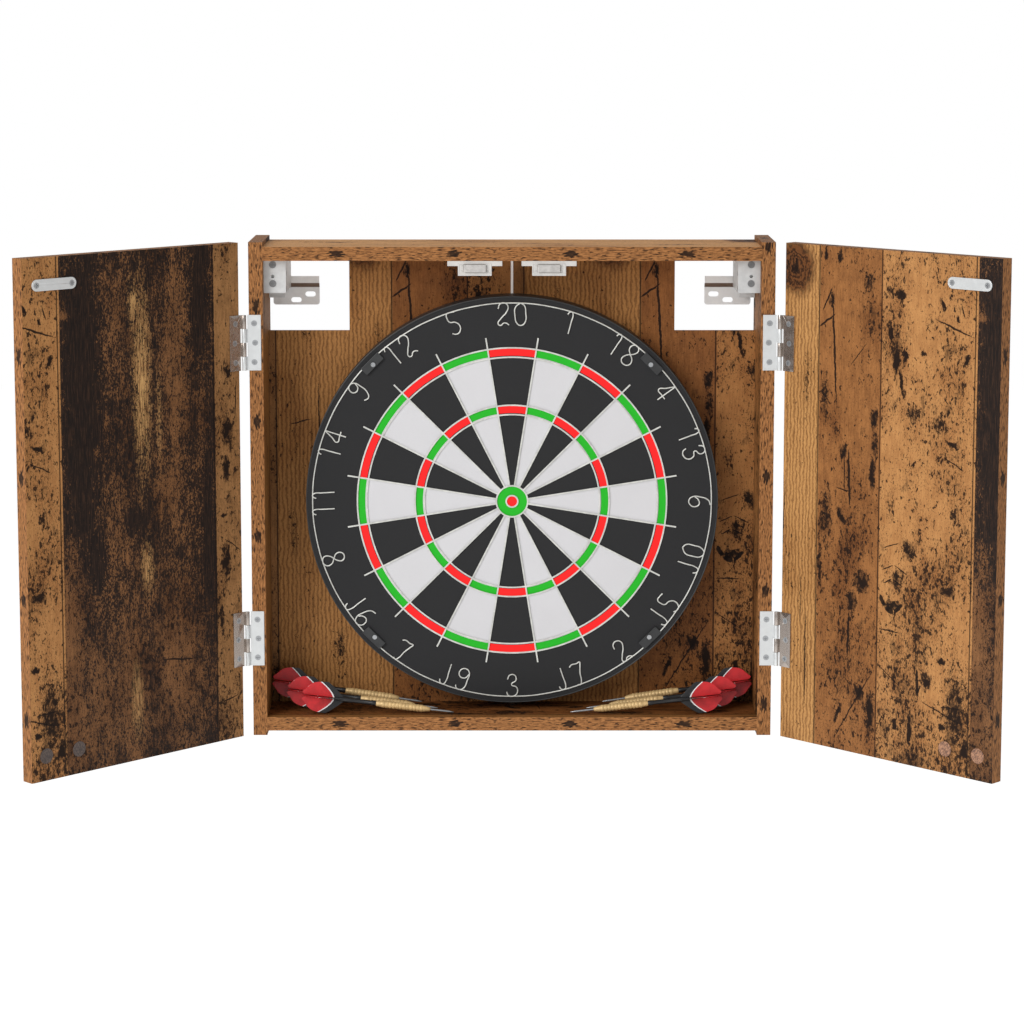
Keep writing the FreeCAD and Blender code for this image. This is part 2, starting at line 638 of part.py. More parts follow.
def catches():
    """Housings under the top panel, their magnets and the small screws."""
    magnets = []
    high = "0 * Size.catch_tall"
    for side, sign in SIDES:
        ear, body = "Size.catch_flange / 2", "Size.catch_body / 2"
        half = ((ear, high), (ear, "-Size.catch_ear"), (body, "-Size.catch_ear"), (body, "-Size.catch_tall"))
        mirrored = tuple((f"-{x}", z) for x, z in reversed(half))
        blank = polygon_body(f"catch_blank_{side}", "XZ_Plane", half + mirrored,
                             "Size.catch_deep", backwards=True)
        centre = f"{sign} * Size.catch_centre"
        place_at(blank, x=centre, y=FRONT, z=CEILING)
        long = "Size.magnet_proud + 0.75 * Size.catch_deep"
        low = "Size.strike_above_bull - Size.magnet_tall / 2"
        magnets.append(box(f"magnet_{side}", ("Size.magnet_wide", long, "Size.magnet_tall"),
                           (f"{centre} - Size.magnet_wide / 2", f"{FRONT} - Size.magnet_proud", low)))
        gap = "Size.magnet_gap"
        pocket = box(f"magnet_pocket_{side}",
                     (f"Size.magnet_wide + 2 * {gap}", f"{long} + {gap}", f"Size.magnet_tall + 2 * {gap}"),
                     (f"{centre} - Size.magnet_wide / 2 - {gap}", f"{FRONT} - Size.magnet_proud",
                      f"{low} - {gap}"))
        tools = grouped(f"catch_cuts_{side}",
                        [pocket, holes(f"catch_holes_{side}", COUNTERSUNK, catch_spots(sign))])
        node(cut(f"catch_housing_{side}", blank, tools))
    node(grouped("catch_magnets", magnets))
    screws("fixing_screws", COUNTERSUNK, catch_spots(-1) + catch_spots(1) + bracket_spots())


# ---- wall hangers ------------------------------------------------------------------------

def adjuster_place(sign, drop):
    """Middle of an adjusting screw's head on the front of the hanger."""
    return (f"{sign} * ({INNER_HALF} - Size.adjuster_side)", f"{FRONT} + Size.hanger_recess",
            f"{CEILING} - {drop}")


def adjusting_screw(label, sign, drop):
    """Adjusting screw, its head a little in front of the hanger."""
    x, y, z = adjuster_place(sign, drop)
    head = rod(f"{label}_head", "Size.adjuster_head", "Size.adjuster_head_long",
               (x, f"{y} - Size.adjuster_proud", z), (0, 1, 0))
    shank = rod(f"{label}_shank", "Size.adjuster_shank", "Size.adjuster_long", (x, y, z), (0, 1, 0))
    return joined(label, [head, shank])


def adjuster_bore(label, sign, drop):
    """Counterbored hole that an adjusting screw turns in."""
    place = adjuster_place(sign, drop)
    clear = "Size.running_clear"
    seat = rod(f"{label}_seat", f"Size.adjuster_head + 4 * {clear}", "Size.adjuster_seat", place, (0, 1, 0))
    bore = rod(f"{label}_shank", f"Size.adjuster_shank + {clear}", f"Size.adjuster_long + {clear}",
               place, (0, 1, 0))
    return joined(label, [seat, bore])


def cross_recess(label, base, sign, drop):
    """Cut the cross into an adjusting screw's head."""
    x, y, z = adjuster_place(sign, drop)
    long, wide, deep = "(1.3 * Size.adjuster_head)", "Size.adjuster_cross", "Size.adjuster_cross_deep"
    blades = [box(f"{label}_blade_{index}", (across, f"2 * {deep}", up),
                  (f"{x} - {across} / 2", f"{y} - {deep}", f"{z} - {up} / 2"))
              for index, (across, up) in enumerate(((long, wide), (wide, long)))]
    return cut(label, base, grouped(f"{label}_cross", blades))


def hanger_body(side, sign):
    """Housing in the upper corner: a nose for the adjusters, a channel for the hook."""
    front = f"{FRONT} + Size.hanger_recess"
    low = f"{CEILING} - Size.hanger_tall"
    case = side_box(f"hanger_case_{side}", sign, f"{INNER_HALF} - Size.hanger_wide", INNER_HALF,
                    (front, low), ("-Size.hanger_rear", CEILING))
    tail = side_box(f"hanger_tail_{side}", sign, f"{INNER_HALF} - Size.tail_wide", INNER_HALF,
                    ("-Size.hanger_rear - Size.tail_thick", f"{low} - Size.tail_drop"),
                    ("-Size.hanger_rear", low))
    reach = "(Size.hook_travel + Size.hook_clear)"
    rail_top = "(Size.plate_base + Size.plate_tall)"
    channel = side_box(f"hanger_channel_{side}", sign,
                       f"{INNER_HALF} - Size.hook_side - Size.hook_wide - Size.hook_clear",
                       f"{INNER_HALF} - Size.hook_side + Size.hook_clear",
                       (f"{front} + Size.hanger_nose", f"{rail_top} - {reach}"),
                       ("0", f"{rail_top} + Size.hook_tall + {reach}"))
    x, y, z = adjuster_place(sign, "Size.adjuster_low")
    sight = rod(f"hanger_sight_{side}", "Size.sight_radius", "Size.sight_deep",
                (x, y, f"{z} + Size.sight_rise"), (0, 1, 0))
    tools = grouped(f"hanger_cuts_{side}", [
        channel, sight,
        adjuster_bore(f"height_bore_{side}", sign, "Size.adjuster_high"),
        adjuster_bore(f"depth_bore_{side}", sign, "Size.adjuster_low"),
        holes(f"hanger_screw_holes_{side}", LONG_COUNTERSUNK, hanger_spots(sign)),
    ])
    return node(cut(f"hanger_body_{side}", joined(f"hanger_blank_{side}", [case, tail]), tools))


def hanger_hook(side, sign):
    """Flat steel hook that comes out of the housing and drops behind the rail."""
    arm_base = "(Size.plate_base + Size.plate_tall + Size.hook_rest)"
    arm_top = f"{arm_base} + Size.hook_tall"
    inner_end = f"{FRONT} + Size.hanger_recess + Size.hanger_nose + Size.hook_inside"
    lip_back, lip_front = "-Size.lip_near", "-Size.lip_far"
    lip_low = f"{arm_base} - Size.lip_drop"
    hook = polygon_body(f"hanger_hook_{side}", "YZ_Plane", (
        (inner_end, arm_base), (lip_front, arm_base), (lip_front, lip_low), (lip_back, lip_low),
        (lip_back, arm_top), (inner_end, arm_top),
    ), "Size.hook_wide")
    near = f"({INNER_HALF} - Size.hook_side - Size.hook_wide)"
    return node(place_at(hook, x=near if sign > 0 else f"-({near} + Size.hook_wide)"))


def wall_plate(side, sign):
    """Slotted plate screwed to the wall, bent out into the rail that the hook rests on."""
    body = new_body(f"wall_plate_{side}")
    profile = sketch_on(body, "YZ_Plane", f"wall_plate_profile_{side}")
    bend, thick, stand, top = "Size.plate_bend", "Size.plate_thick", "Size.plate_stand", "Size.plate_tall"
    wall, foot = f"0 * {stand}", f"0 * {top}"
    rail_foot = f"{bend} + Size.plate_slope"
    draw_polygon(profile, (
        (wall, foot), (f"-{thick}", foot), (f"-{thick}", bend), (f"-{stand}", rail_foot), (f"-{stand}", top),
        (f"{thick} - {stand}", top), (f"{thick} - {stand}", f"{rail_foot} + {thick}"),
        (wall, f"{bend} + {thick}"),
    ))
    sheet_pad = pad(body, profile, "Size.plate_wide", midplane=True)
    centre = f"({INNER_HALF} - Size.plate_side - Size.plate_wide / 2)"
    slots = sketch_on(body, "XZ_Plane", f"wall_plate_slots_{side}")
    for level in ("high", "low"):
        middle = (f"{sign} * (Size.slot_{level}_x - {centre})", f"Size.slot_{level}_z - Size.plate_base")
        draw_slot(slots, middle, "Size.slot_long", "Size.slot_radius")
    pocket = body.newObject("PartDesign::Pocket", f"wall_plate_slot_cut_{side}")
    pocket.Profile = slots
    pocket.Type = "Length"
    pocket.Midplane = True
    bind(pocket, Length="4 * Size.plate_thick")
    doc.recompute()
    if pocket.Shape.Volume >= sheet_pad.Shape.Volume:
        raise RuntimeError("the wall plate's slots were not cut")
    rounding = body.newObject("PartDesign::Fillet", f"wall_plate_corners_{side}")
    corners = [f"Edge{index}" for index, edge in enumerate(pocket.Shape.Edges, start=1)
               if max(edge.BoundBox.ZMax, edge.BoundBox.XLength) < SAME_PLACE < edge.BoundBox.YLength]
    rounding.Base = (pocket, corners)
    bind(rounding, Radius="Size.plate_corner")
    return node(place_at(body, x=f"{sign} * {centre}", z="Size.plate_base"))


def hangers():
    """Both wall hangers and the plates that they hook on."""
    depth_screws = []
    for side, sign in SIDES:
        hanger_body(side, sign)
        hanger_hook(side, sign)
        wall_plate(side, sign)
        height = adjusting_screw(f"height_blank_{side}", sign, "Size.adjuster_high")
        node(cross_recess(f"hanger_height_screw_{side}", height, sign, "Size.adjuster_high"))
        depth = adjusting_screw(f"depth_blank_{side}", sign, "Size.adjuster_low")
        depth_screws.append(cross_recess(f"depth_screw_{side}", depth, sign, "Size.adjuster_low"))
    node(grouped("hanger_depth_screws", depth_screws))
    screws("hanger_screws", LONG_COUNTERSUNK, hanger_spots(-1) + hanger_spots(1))


# ---- dart board -----------------------------------------------------------------------------

def disc(radius, low, tall):
    """A flat disc in front of the board: low and tall run from the face forwards."""
    face = value_of(BOARD_FACE)
    return Part.makeCylinder(radius, tall, Vector(0, face - low, 0), Vector(0, -1, 0))


def hoop(radius, wide, tall):
    """A flat ring of wire on the board's face; radius is its outside."""
    return disc(radius, 0, tall).cut(disc(radius - wide, 0, tall))


def centre_screw_shape(grow=0.0):
    """Pan-head screw in the middle of the board's back; grown, it is the board's hole."""
    tip = value_of(BOARD_FACE) + size("board_thick") - size("centre_grip") - grow
    under_head = value_of(BACK_FACE) - size("bracket_proud") + size("bracket_thick") + size("centre_play")
    shank = Part.makeCylinder(size("centre_shank") + grow, under_head - tip,
                              Vector(0, tip, 0), Vector(0, 1, 0))
    if grow:
        return shank
    head = Part.makeCylinder(size("centre_head"), size("centre_head_tall"),
                             Vector(0, under_head, 0), Vector(0, 1, 0))
    return shank.fuse(head).removeSplitter()


def clip_spots():
    """Angle of each of the four clips that hold the number ring."""
    return [45 + 90 * turn for turn in range(4)]


def round_the_bull(shape, angle):
    """Turn a shape drawn above the bull clockwise about it, as seen from the front."""
    turned = shape.copy()
    turned.rotate(Vector(), Vector(0, 1, 0), angle)
    return turned


def clip_screw_shape(grow=0.0):
    """Small round-head screw through a clip into the board."""
    under_head = Vector(0, value_of(BOARD_FACE) - size("clip_tall"), size("clip_screw_radius"))
    shank = Part.makeCylinder(size("clip_shank") + grow, size("clip_screw_long") + grow,
                              under_head, Vector(0, 1, 0))
    if grow:
        return shank
    head = Part.makeCylinder(size("clip_head"), size("clip_head_tall"), under_head, Vector(0, -1, 0))
    return shank.fuse(head).removeSplitter()


def board_core():
    """Sisal core with the holes of the centre screw and the clip screws."""
    long, radius = "Size.board_thick", "Size.board_radius - Size.band_thick - Size.running_clear"
    zero = "0 * Size.board_thick"
    blank = turned_body("board_core_blank", ((zero, zero), (long, zero), (long, radius), (zero, radius)))
    blank.Placement = Placement(Vector(), Rotation(Vector(1, 0, 0), Vector(0, 1, 0)))
    place_at(blank, y=BOARD_FACE)
    clear = size("running_clear")
    drilled = [round_the_bull(clip_screw_shape(clear), angle) for angle in clip_spots()]
    tool = shaped("board_core_holes", Part.makeCompound(drilled + [centre_screw_shape(clear)]))
    return node(cut("board_core", blank, tool))


def rim_band():
    """Steel band round the core."""
    outer, inner = "Size.board_radius", "Size.board_radius - Size.band_thick"
    zero, long = "0 * Size.board_thick", "Size.board_thick"
    band = turned_body("board_rim_band", ((zero, inner), (long, inner), (long, outer), (zero, outer)))
    band.Placement = Placement(Vector(), Rotation(Vector(1, 0, 0), Vector(0, 1, 0)))
    return node(place_at(band, y=BOARD_FACE))


def spider():
    """Scoring wires: six hoops and twenty spokes, welded into one piece."""
    wide, tall = size("wire_wide"), size("wire_tall")
    band = size("score_band")
    radii = [size("double_radius"), size("double_radius") - band, size("treble_radius"),
             size("treble_radius") - band, size("bull_radius"), size("bull_core")]
    hoops = [hoop(radius, wide, tall) for radius in radii]
    start, end = size("bull_radius") - wide / 2, size("spoke_end")
    face = value_of(BOARD_FACE)
    spoke = Part.makeBox(wide, tall, end - start, Vector(-wide / 2, face - tall, start))
    spokes = [round_the_bull(spoke, SECTOR_TURN * (index + 0.5)) for index in range(len(NUMBERS))]
    web = hoops[0].multiFuse(hoops[1:5] + spokes).removeSplitter()
    return node(shaped("board_spider", Part.makeCompound([web, hoops[5]])))


# Stretches of wire of each numeral, in a box one high and NUMERAL_WIDE wide. Two points
# make a straight stretch and three an arc.
NUMERAL_WIDE = 0.52
NUMERAL_STROKES = {
    "0": [((0, 0.3), (0.26, 0), (0.52, 0.3)), ((0.52, 0.3), (0.52, 0.7)),
          ((0.52, 0.7), (0.26, 1), (0, 0.7)), ((0, 0.7), (0, 0.3))],
    "1": [((0.08, 0.78), (0.3, 1)), ((0.3, 1), (0.3, 0))],
    "2": [((0.02, 0.76), (0.27, 1), (0.5, 0.7)), ((0.5, 0.7), (0, 0)), ((0, 0), (0.52, 0))],
    "3": [((0.02, 0.86), (0.46, 0.78), (0.2, 0.55)), ((0.2, 0.55), (0.52, 0.27), (0, 0.12))],
    "4": [((0.4, 0), (0.4, 1)), ((0.4, 1), (0, 0.3)), ((0, 0.3), (0.52, 0.3))],
    "5": [((0.48, 1), (0.08, 1)), ((0.08, 1), (0.05, 0.58)), ((0.05, 0.58), (0.51, 0.34), (0, 0.06))],
    "6": [((0.44, 0.98), (0.1, 0.68), (0, 0.3)),
          ((0, 0.28), (0.26, 0), (0.52, 0.28)), ((0.52, 0.28), (0.26, 0.54), (0, 0.28))],
    "7": [((0, 1), (0.52, 1)), ((0.52, 1), (0.18, 0))],
    "8": [((0, 0.27), (0.26, 0), (0.52, 0.27)), ((0.52, 0.27), (0.26, 0.54), (0, 0.27)),
          ((0.05, 0.77), (0.26, 0.54), (0.47, 0.77)), ((0.47, 0.77), (0.26, 1), (0.05, 0.77))],
    "9": [((0.08, 0.02), (0.42, 0.32), (0.52, 0.7)),
          ((0.52, 0.72), (0.26, 1), (0, 0.72)), ((0, 0.72), (0.26, 0.46), (0.52, 0.72))],
}


def stroke_bars(points):
    """Flat round-ended bars that follow one straight or curved stretch of a stroke."""
    half = size("numeral_wire") / 2
    ends = [Part.Face(Part.Wire(Part.makeCircle(half, point))) for point in (points[0], points[-1])]
    if len(points) == 3:
        middle = Part.Arc(*points).toShape()
        outer, inner = beside_arc(middle, half), beside_arc(middle, -half)
        sides = [Part.makeLine(outer.Vertexes[at].Point, inner.Vertexes[at].Point) for at in (0, -1)]
        band = Part.Face(Part.Wire(Part.__sortEdges__([outer, inner] + sides)))
    else:
        along = (points[1] - points[0]).normalize() * half
        across = Vector(-along.y, along.x, 0)
        corners = [points[0] + across, points[1] + across, points[1] - across, points[0] - across]
        band = Part.Face(Part.makePolygon(corners + corners[:1]))
    return [standing_on_face(face) for face in [band] + ends]


def beside_arc(middle, offset):
    """The arc beside another one on the same centre."""
    circle = middle.Curve.copy()
    circle.Radius += offset
    return circle.toShape(*middle.ParameterRange)


def standing_on_face(outline):
    """Raise a flat outline by the wire's height and stand it on the board's face."""
    bar = outline.extrude(Vector(0, 0, size("wire_tall")))
    bar.rotate(Vector(), Vector(1, 0, 0), 90)
    bar.translate(Vector(0, value_of(BOARD_FACE), 0))
    return bar


def numeral_bars(number, outward):
    """Bars of one number above the bull, its top or its foot against the ring."""
    tall = size("numeral_tall")
    text = str(number)
    pitch = NUMERAL_WIDE * tall + size("numeral_gap")
    start = -(pitch * len(text) - size("numeral_gap")) / 2
    outer = size("ring_radius") - size("ring_wire") / 2
    bars = []
    for place_number, digit in enumerate(text):
        left = start + pitch * place_number

        def place(x, z, left=left):
            if outward:
                return Vector(left + x * tall, outer - tall + z * tall, 0)
            return Vector(-left - x * tall, outer - z * tall, 0)

        for stretch in NUMERAL_STROKES[digit]:
            bars.extend(stroke_bars([place(*point) for point in stretch]))
    return bars


def number_ring():
    """Wire ring with the twenty numbers; those in the lower half stand on the ring."""
    ring = hoop(size("ring_radius") + size("ring_wire") / 2, size("ring_wire"), size("wire_tall"))
    bars = []
    for index, number in enumerate(NUMBERS):
        outward = not 6 <= index <= 14
        bars.extend(round_the_bull(bar, SECTOR_TURN * index) for bar in numeral_bars(number, outward))
    return node(shaped("number_ring", ring.multiFuse(bars).removeSplitter()))


def ring_clips():
    """Four clips that reach over the ring, and their screws."""
    face, ring, half = value_of(BOARD_FACE), size("ring_radius"), size("clip_long") / 2
    foot, lap, end = ring - size("clip_foot"), ring - size("clip_lap"), ring + size("clip_lap")
    hollow, top = face - size("clip_hollow"), face - size("clip_tall")
    profile = ((face, foot), (face, lap), (hollow, lap), (hollow, end), (top, end), (top, foot))
    points = [Vector(-half, y, z) for y, z in profile]
    clip = Part.Face(Part.makePolygon(points + points[:1])).extrude(Vector(2 * half, 0, 0))
    clip = clip.cut(clip_screw_shape(size("running_clear")))
    node(shaped("ring_clips", Part.makeCompound([round_the_bull(clip, angle) for angle in clip_spots()])))
    screw = clip_screw_shape()
    node(shaped("clip_screws", Part.makeCompound([round_the_bull(screw, angle) for angle in clip_spots()])))


def board_bracket():
    """Hat-shaped bracket with an open slot that the board's centre screw drops into."""
    thick, proud = "Size.bracket_thick", "Size.bracket_proud"
    half, reach = "Size.bracket_half", "Size.bracket_reach"
    zero = "0 * Size.bracket_thick"
    right = ((f"{half}", f"-{proud}"), (half, f"-{thick}"), (reach, f"-{thick}"), (reach, zero),
             (f"{half} - {thick}", zero), (f"{half} - {thick}", f"{thick} - {proud}"))
    left = tuple((f"-({x})", y) for x, y in reversed(right))
    blank = polygon_body("bracket_blank", "XY_Plane", right + left, "2 * Size.bracket_tall", midplane=True)
    place_at(blank, y=BACK_FACE)
    slot = box("bracket_slot_cut", ("2 * Size.bracket_slot", proud, "Size.bracket_tall + 1"),
               ("-Size.bracket_slot", f"{BACK_FACE} - {proud}", zero))
    foot = rod("bracket_slot_foot", "Size.bracket_slot", proud,
               (zero, f"{BACK_FACE} - {proud}", zero), (0, 1, 0))
    tools = grouped("bracket_cuts", [slot, foot, holes("bracket_holes", COUNTERSUNK, bracket_spots())])
    return node(cut("board_bracket", blank, tools))


def dart_board():
    """The board and what it hangs on."""
    board_core()
    rim_band()
    spider()
    number_ring()
    ring_clips()
    board_bracket()
    node(shaped("board_centre_screw", centre_screw_shape()))


# ---- darts ------------------------------------------------------------------------------------

BARREL_RINGS = 12


def barrel_outline():
    """Half outline of the barrel from its nose: a taper, then rings between grooves."""
    start, long, radius = size("point_long"), size("barrel_long"), size("barrel_radius")
    nose, valley = size("barrel_taper"), radius - size("barrel_groove")
    outline = [(0.0, 0.0), (0.0, size("barrel_nose")), (nose, valley)]
    pitch = (long - nose - size("barrel_rear")) / BARREL_RINGS
    for ring in range(BARREL_RINGS):
        left = nose + ring * pitch
        outline += [(left + 0.2 * pitch, radius), (left + 0.8 * pitch, radius), (left + pitch, valley)]
    outline += [(long, size("barrel_tail")), (long, 0.0)]
    return [(f"-{start + x}", str(r)) for x, r in outline]


def flight_body(label, thick):
    """Four crossed vanes."""
    body = new_body(label)
    sketch = sketch_on(body, "XZ_Plane", f"{label}_outline")
    front, tail = "-Size.flight_start", "-(Size.flight_start + Size.flight_long)"
    crest = "-(Size.flight_start + 0.47 * Size.flight_long)"
    shoulder = "-(Size.flight_start + 0.8 * Size.flight_long)"
    zero = "0 * Size.flight_long"
    draw_polygon(sketch, (
        (front, zero), (front, "Size.flight_nose"), (crest, "Size.flight_radius"),
        (shoulder, "0.86 * Size.flight_radius"), (tail, "0.4 * Size.flight_radius"), (tail, zero)))
    vane = pad(body, sketch, thick, midplane=True)
    cross = body.newObject("PartDesign::PolarPattern", f"{label}_cross")
    cross.Originals = [vane]
    cross.Axis = (origin_feature(body, "X_Axis"), [""])
    cross.Angle = 360
    cross.Occurrences = 4
    body.Tip = cross
    return body


def dart(side, sign, name):
    """One dart, drawn along -X from its tip, then laid on the bottom panel."""
    tip_x, tip_z, depth, slope = DARTS[name]
    label = f"dart_{side}_{name}"
    zero = "0 * Size.point_long"
    barrel = turned_body(f"{label}_barrel_body", barrel_outline())
    point = turned_body(f"{label}_point", (
        (zero, zero), ("-Size.point_taper", "Size.point_radius"), ("-Size.point_long", "Size.point_radius"),
        ("-Size.point_long", zero)))
    stem_start = "-(Size.point_long + Size.barrel_long)"
    stem_end = f"{stem_start} - Size.stem_long"
    stem_blank = turned_body(f"{label}_stem_blank", (
        (stem_start, zero), (stem_start, "Size.barrel_tail"),
        (f"{stem_start} - Size.stem_taper", "Size.stem_radius"), (stem_end, "Size.stem_tip"),
        (stem_end, zero)))
    flight = flight_body(f"{label}_vanes", "Size.flight_thick")
    slots = flight_body(f"{label}_slots", "Size.flight_thick + Size.flight_fit")
    stem = cut(f"{label}_stem", stem_blank, slots)
    heading = Rotation(Vector(0, 0, 1), 90 + 90 * sign)
    raised = Rotation(Vector(0, 1, 0), slope)
    rolled = Rotation(Vector(1, 0, 0), sign * size("dart_roll"))
    tip = Vector(sign * tip_x, value_of(FRONT) + depth, value_of(FLOOR) + tip_z)
    for piece in (grouped(f"{label}_barrel", [barrel, point]), grouped(f"{label}_flight", [stem, flight])):
        doc.recompute()
        piece.Placement = Placement(tip, heading * raised * rolled)
        node(piece)


# ---- the whole cabinet ----------------------------------------------------------------------------

carcass()
frame_leaves()
for door_side, door_sign in SIDES:
    door(door_side, door_sign)
catches()
hangers()
dart_board()
for dart_side, dart_sign in SIDES:
    for dart_name in DARTS:
        dart(dart_side, dart_sign, dart_name)

doc.recompute()
for item in doc.Objects:
    if {"Invalid", "Error"} & set(item.State):
        raise RuntimeError(f"{item.Label}: {item.State}")

os.makedirs("parts", exist_ok=True)
for piece in nodes:
    if piece.Shape.isNull() or not piece.Shape.isValid() or not piece.Shape.Solids:
        raise RuntimeError(f"{piece.Label}: no valid solid")
    piece.Shape.exportStep(f"parts/{piece.Label}.step")
    print(f"{piece.Label}: {len(piece.Shape.Solids)} solids, {piece.Shape.Volume / 1000:.2f} cm3")
print(f"{len(nodes)} nodes")
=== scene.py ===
import json
import logging
import math
from collections.abc import Callable, Iterable, Sequence
from dataclasses import dataclass
from enum import Enum
from functools import reduce
from typing import Any

import bmesh
import bpy
from mathutils import Matrix, Vector


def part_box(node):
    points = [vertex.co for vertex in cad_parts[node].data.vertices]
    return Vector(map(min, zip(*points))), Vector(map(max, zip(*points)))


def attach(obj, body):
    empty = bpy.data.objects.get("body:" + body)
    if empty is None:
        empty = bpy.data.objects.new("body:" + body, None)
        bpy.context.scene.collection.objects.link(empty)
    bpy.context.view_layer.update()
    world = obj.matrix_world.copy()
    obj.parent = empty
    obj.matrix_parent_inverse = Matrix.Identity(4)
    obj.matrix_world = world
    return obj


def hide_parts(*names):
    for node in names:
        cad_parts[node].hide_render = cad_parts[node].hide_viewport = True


# A wall-hung dart board cabinet with its doors open. Metres; +X right, +Y towards the wall, +Z up,
# and the origin on the wall plane behind the bull's centre.

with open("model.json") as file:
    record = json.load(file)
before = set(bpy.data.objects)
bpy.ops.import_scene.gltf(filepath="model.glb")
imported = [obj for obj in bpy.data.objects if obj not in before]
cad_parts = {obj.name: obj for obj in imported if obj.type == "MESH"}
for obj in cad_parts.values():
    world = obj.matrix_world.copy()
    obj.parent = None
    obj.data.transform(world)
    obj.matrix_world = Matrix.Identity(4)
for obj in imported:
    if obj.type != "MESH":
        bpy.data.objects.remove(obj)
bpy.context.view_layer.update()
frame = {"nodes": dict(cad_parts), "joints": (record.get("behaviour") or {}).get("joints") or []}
NODES: dict[str, bpy.types.Object] = frame["nodes"]
JOINTS: dict[str, dict[str, Any]] = {joint["name"]: joint for joint in frame["joints"]}
LOG = logging.getLogger("cabinet")
MM = 0.001

Colour = tuple[float, float, float]
Pair = tuple[float, float]
Path = Sequence[Pair]
Socket = bpy.types.NodeSocket
Value = float | Socket
Mesh = bmesh.types.BMesh
Material = bpy.types.Material


def srgb(red: int, green: int, blue: int) -> Colour:
    """Linear colour of an everyday 0-255 colour.

    Args:
        red: Red, 0 to 255.
        green: Green, 0 to 255.
        blue: Blue, 0 to 255.

    Returns:
        The three linear values.
    """
    def linear(value: int) -> float:
        """Linear value of one channel."""
        share = value / 255
        return share / 12.92 if share <= 0.04045 else ((share + 0.055) / 1.055) ** 2.4

    return linear(red), linear(green), linear(blue)


def with_alpha(colour: Colour) -> tuple[float, float, float, float]:
    """The colour with full alpha, as sockets want it."""
    return (*colour, 1.0)


def darker(colour: Colour, share: float) -> Colour:
    """The colour brought down to a share of its brightness."""
    return tuple(channel * share for channel in colour)


class Side(Enum):
    """Left or right of the cabinet."""

    LEFT = -1
    RIGHT = 1

    @property
    def word(self) -> str:
        """The side's name as nodes and bodies spell it."""
        return self.name.lower()


# ---- shading -------------------------------------------------------------------------------------


